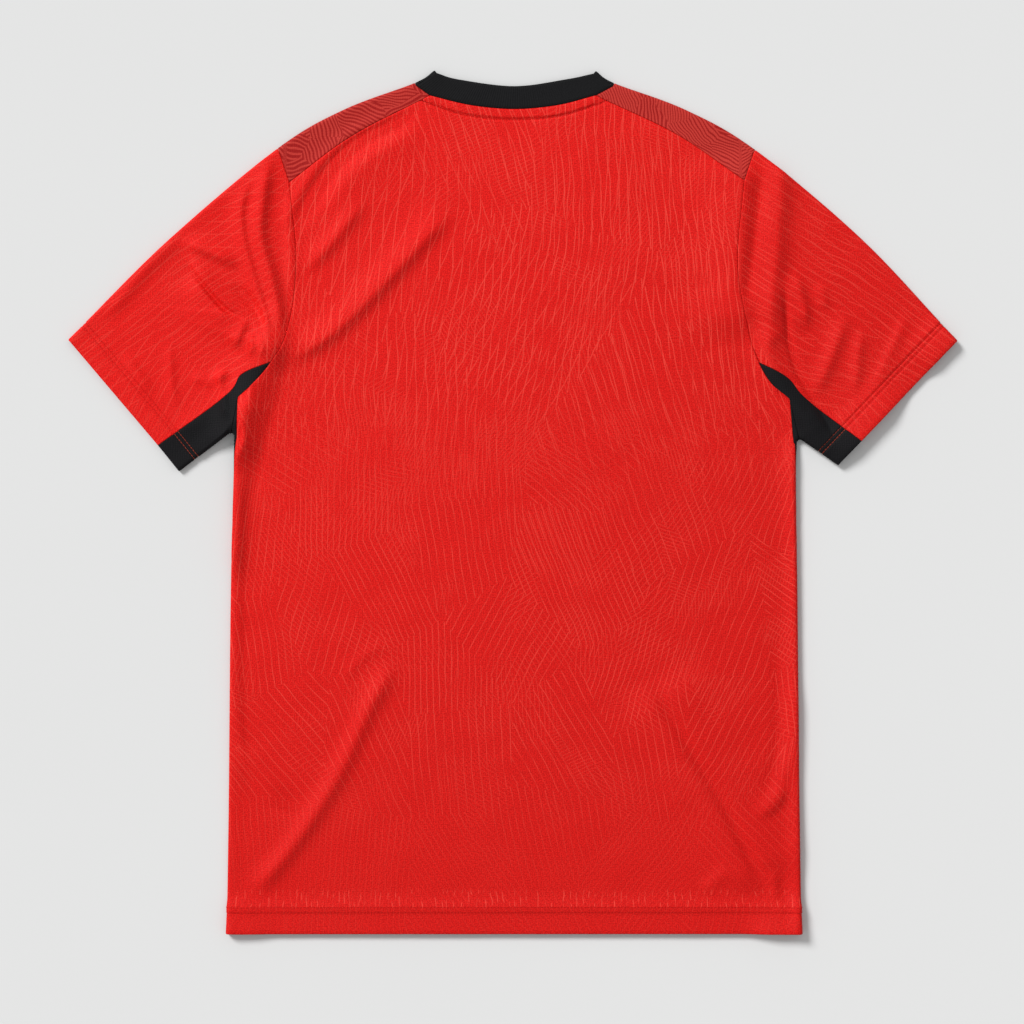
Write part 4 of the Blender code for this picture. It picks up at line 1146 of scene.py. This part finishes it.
def red_knit():
    shade = Shader("red_knit", roughness=0.62)
    loops = shade.knit(column=1.7, course=1.5, depth=0.16)
    high = shade.ramp(shade.y, *HIGH_ON_BACK)
    low = shade.math("SUBTRACT", FAINTER, shade.times(high, FAINTER))
    upper = shade.math("MAXIMUM", shade.stripes(*UPPER_FANS),
                       shade.times(shade.stripes(*CROSSING_FANS), FAINTER))
    lines = shade.math("ADD", shade.times(upper, high),
                       shade.times(shade.stripes(*LOWER_FANS), low))
    worn = shade.ramp(shade.noise(5.0, size=19.0, detail=3.0), *WORN_LINES)
    lines = shade.times(lines, worn)
    patches = shade.ramp(shade.noise(11.0, size=48.0, detail=1.0), *HATCHED_PATCHES)
    lines = shade.math("MAXIMUM", lines, shade.times(shade.stripes(*HATCHING), patches))
    lines = shade.times(lines, shade.ramp(shade.sleeve(), *FAINTER_ON_SLEEVES))
    lines = shade.times(lines, shade.ramp(shade.y, *FAINTER_BELOW))
    bottom, top = HEM_TICKS
    here = shade.times(shade.ramp(shade.y, *bottom), shade.ramp(shade.y, *top))
    worn = shade.ramp(shade.noise(17.0, size=9.0, detail=1.0), *SHARP_PATCHES)
    ticks = shade.times(shade.times(shade.stripes(*TICKS), worn), here)
    lines = shade.math("MAXIMUM", lines, ticks)
    grain = shade.ramp(shade.noise(0.0, size=1.2, detail=1.0), *SHARP_PATCHES)
    # painted shade: the cloth darkens towards the hem's right corner for the light's fall-off
    body = shade.with_falloff_shade(shade.mix(grain, *RED_CLOTH))
    body = shade.mix(shade.times_add(loops, 0.05, 0.07), body, RED_LOOPS)
    return shade.colour(shade.mix(shade.times(lines, 0.58), body, RED_LINES))


def saddle_knit():
    shade = Shader("dark_red_knit", roughness=0.65)
    shade.knit(column=1.7, course=1.5, depth=0.14)
    # painted shade: the saddle panels darken towards the hem's right corner for the light's
    # fall-off
    deep = shade.with_falloff_shade(shade.mix(shade.noise(0.0, size=1.8), *DARK_RED_CLOTH))
    lines = shade.times(shade.stripes(*SADDLE_STRIPES), 0.65)
    return shade.colour(shade.mix(lines, deep, DARK_RED_LINES))


def black_knit():
    shade = Shader("black_knit", roughness=0.7, sheen=0.02)
    loops = shade.knit(column=2.1, course=1.7, depth=0.16)
    return shade.colour(shade.mix(shade.times_add(loops, 0.5, 0.5), *BLACK_CLOTH))


def black_rib():
    shade = Shader("black_rib", roughness=0.75, sheen=0.015)
    shade.knit(column=1.3, course=1.1, depth=0.1)
    return shade.colour(shade.mix(shade.noise(shade.z, size=1.7), *BLACK_RIB))


def thread(name, low, high):
    shade = Shader(name, roughness=0.5)
    return shade.colour(shade.mix(shade.noise(shade.z, size=0.5), low, high))


RED = red_knit()
SADDLE = saddle_knit()
BLACK = black_knit()
RIBBED = black_rib()
RED_THREAD = thread("red_thread", (0.33, 0.0028, 0.0022), (0.50, 0.0080, 0.0060))
ORANGE_THREAD = thread("orange_thread", (0.28, 0.027, 0.009), (0.42, 0.054, 0.023))


# ---------------------------------------------------------------- the whole jersey

# Pieces of each half: how one is made, its name, thread and slot, and its cut's size and area
PANELS = [
    (make_sleeve, "sleeve", RED_THREAD, "red_knit", (0.42, 0.27), 0.07),
    (make_underarm, "underarm", ORANGE_THREAD, "black_knit", (0.10, 0.14), 0.006),
    (make_side, "side", ORANGE_THREAD, "black_knit", (0.06, 0.49), 0.02),
]


def declare(piece):
    """The piece stands for its solid, whose imported part is hidden."""
    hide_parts(piece.name.removesuffix("_cloth"))


def sewn(name, paths, colour):
    """The stitching of a piece, in the given colour."""
    piece = stitches(name + "_stitching", paths, colour)
    return piece


def main():
    halves = (Half(0), Half(1))
    lie = Lie(halves)
    neck, cut = front_neck(halves)
    back, back_hem = make_back(lie, halves)
    front, front_hem = make_front(lie, halves, neck, cut)
    collar = make_collar(lie, halves, neck)
    tape = spline(TAPE_LINE, TAPE_STEPS)
    height = lie.sample(lie.upper, tape) + CLOTH / 2
    neck_row = (np.column_stack([tape, height]), np.broadcast_to(UP, (len(tape), 3)))
    back_thread = sewn("back", back_hem + [neck_row], RED_THREAD)
    front_thread = sewn("front", front_hem, RED_THREAD)
    declare(back)
    declare(front)
    declare(collar)
    meeting = cut * even(SADDLE_NECK_CELLS)
    for half, run in zip(halves, (share(neck, meeting), share(neck, 1.0 - meeting))):
        shoulder = make_shoulder(lie, half, run)
        declare(shoulder)
        for make, name, colour, slot, flat, area in PANELS:
            piece, rows = make(lie, half)
            trim = sewn(name + "_" + half.name, rows, colour)
            declare(piece)


# ---------------------------------------------------------------- the picture

FLOOR_HALF = 3.0
FLOOR_TONE_SIZE = 360.0
SUN_STRENGTH = 3.62
SUN_SPREAD = 20.0
SUN_HEIGHT = 37.0
SUN_TURN = 45.0         # how far round from +Y towards -X the key light stands
SKY_STRENGTH = 0.618
CAMERA_PLACE = (-0.0005, -0.0089)
CAMERA_HEIGHT = 2.6
SENSOR_WIDTH = 36.0
VIEW_WIDTH = 0.9216     # across the picture, at the jersey


def floor_and_light():
    mesh = bpy.data.meshes.new("floor")
    corners = [(-1, -1), (1, -1), (1, 1), (-1, 1)]
    mesh.from_pydata([(x * FLOOR_HALF, y * FLOOR_HALF, 0.0) for x, y in corners], [],
                     [(0, 1, 2, 3)])
    shade = Shader("floor", roughness=0.9)
    mesh.materials.append(shade.colour(shade.mix(shade.noise(0.0, FLOOR_TONE_SIZE), *FLOOR_TONES)))
    floor = stand("floor", mesh)
    sun = bpy.data.lights.new("key", "SUN")
    sun.energy = SUN_STRENGTH
    sun.angle = math.radians(SUN_SPREAD)
    lamp = stand("key", sun)
    lamp.rotation_euler = (math.radians(SUN_HEIGHT - 90.0), 0.0, math.radians(SUN_TURN))
    world = bpy.data.worlds.new("studio")
    world.use_nodes = True
    sky = world.node_tree.nodes["Background"].inputs
    sky[0].default_value = (1.0, 1.0, 1.0, 1.0)
    sky[1].default_value = SKY_STRENGTH
    bpy.context.scene.world = world
    bpy.context.scene.view_settings.view_transform = "Standard"


def camera():
    lens = bpy.data.cameras.new("camera")
    lens.sensor_width = SENSOR_WIDTH
    lens.lens = SENSOR_WIDTH * CAMERA_HEIGHT / VIEW_WIDTH
    eye = stand("camera", lens)
    eye.location = (*CAMERA_PLACE, CAMERA_HEIGHT)
    bpy.context.scene.camera = eye


floor_and_light()
camera()
main()
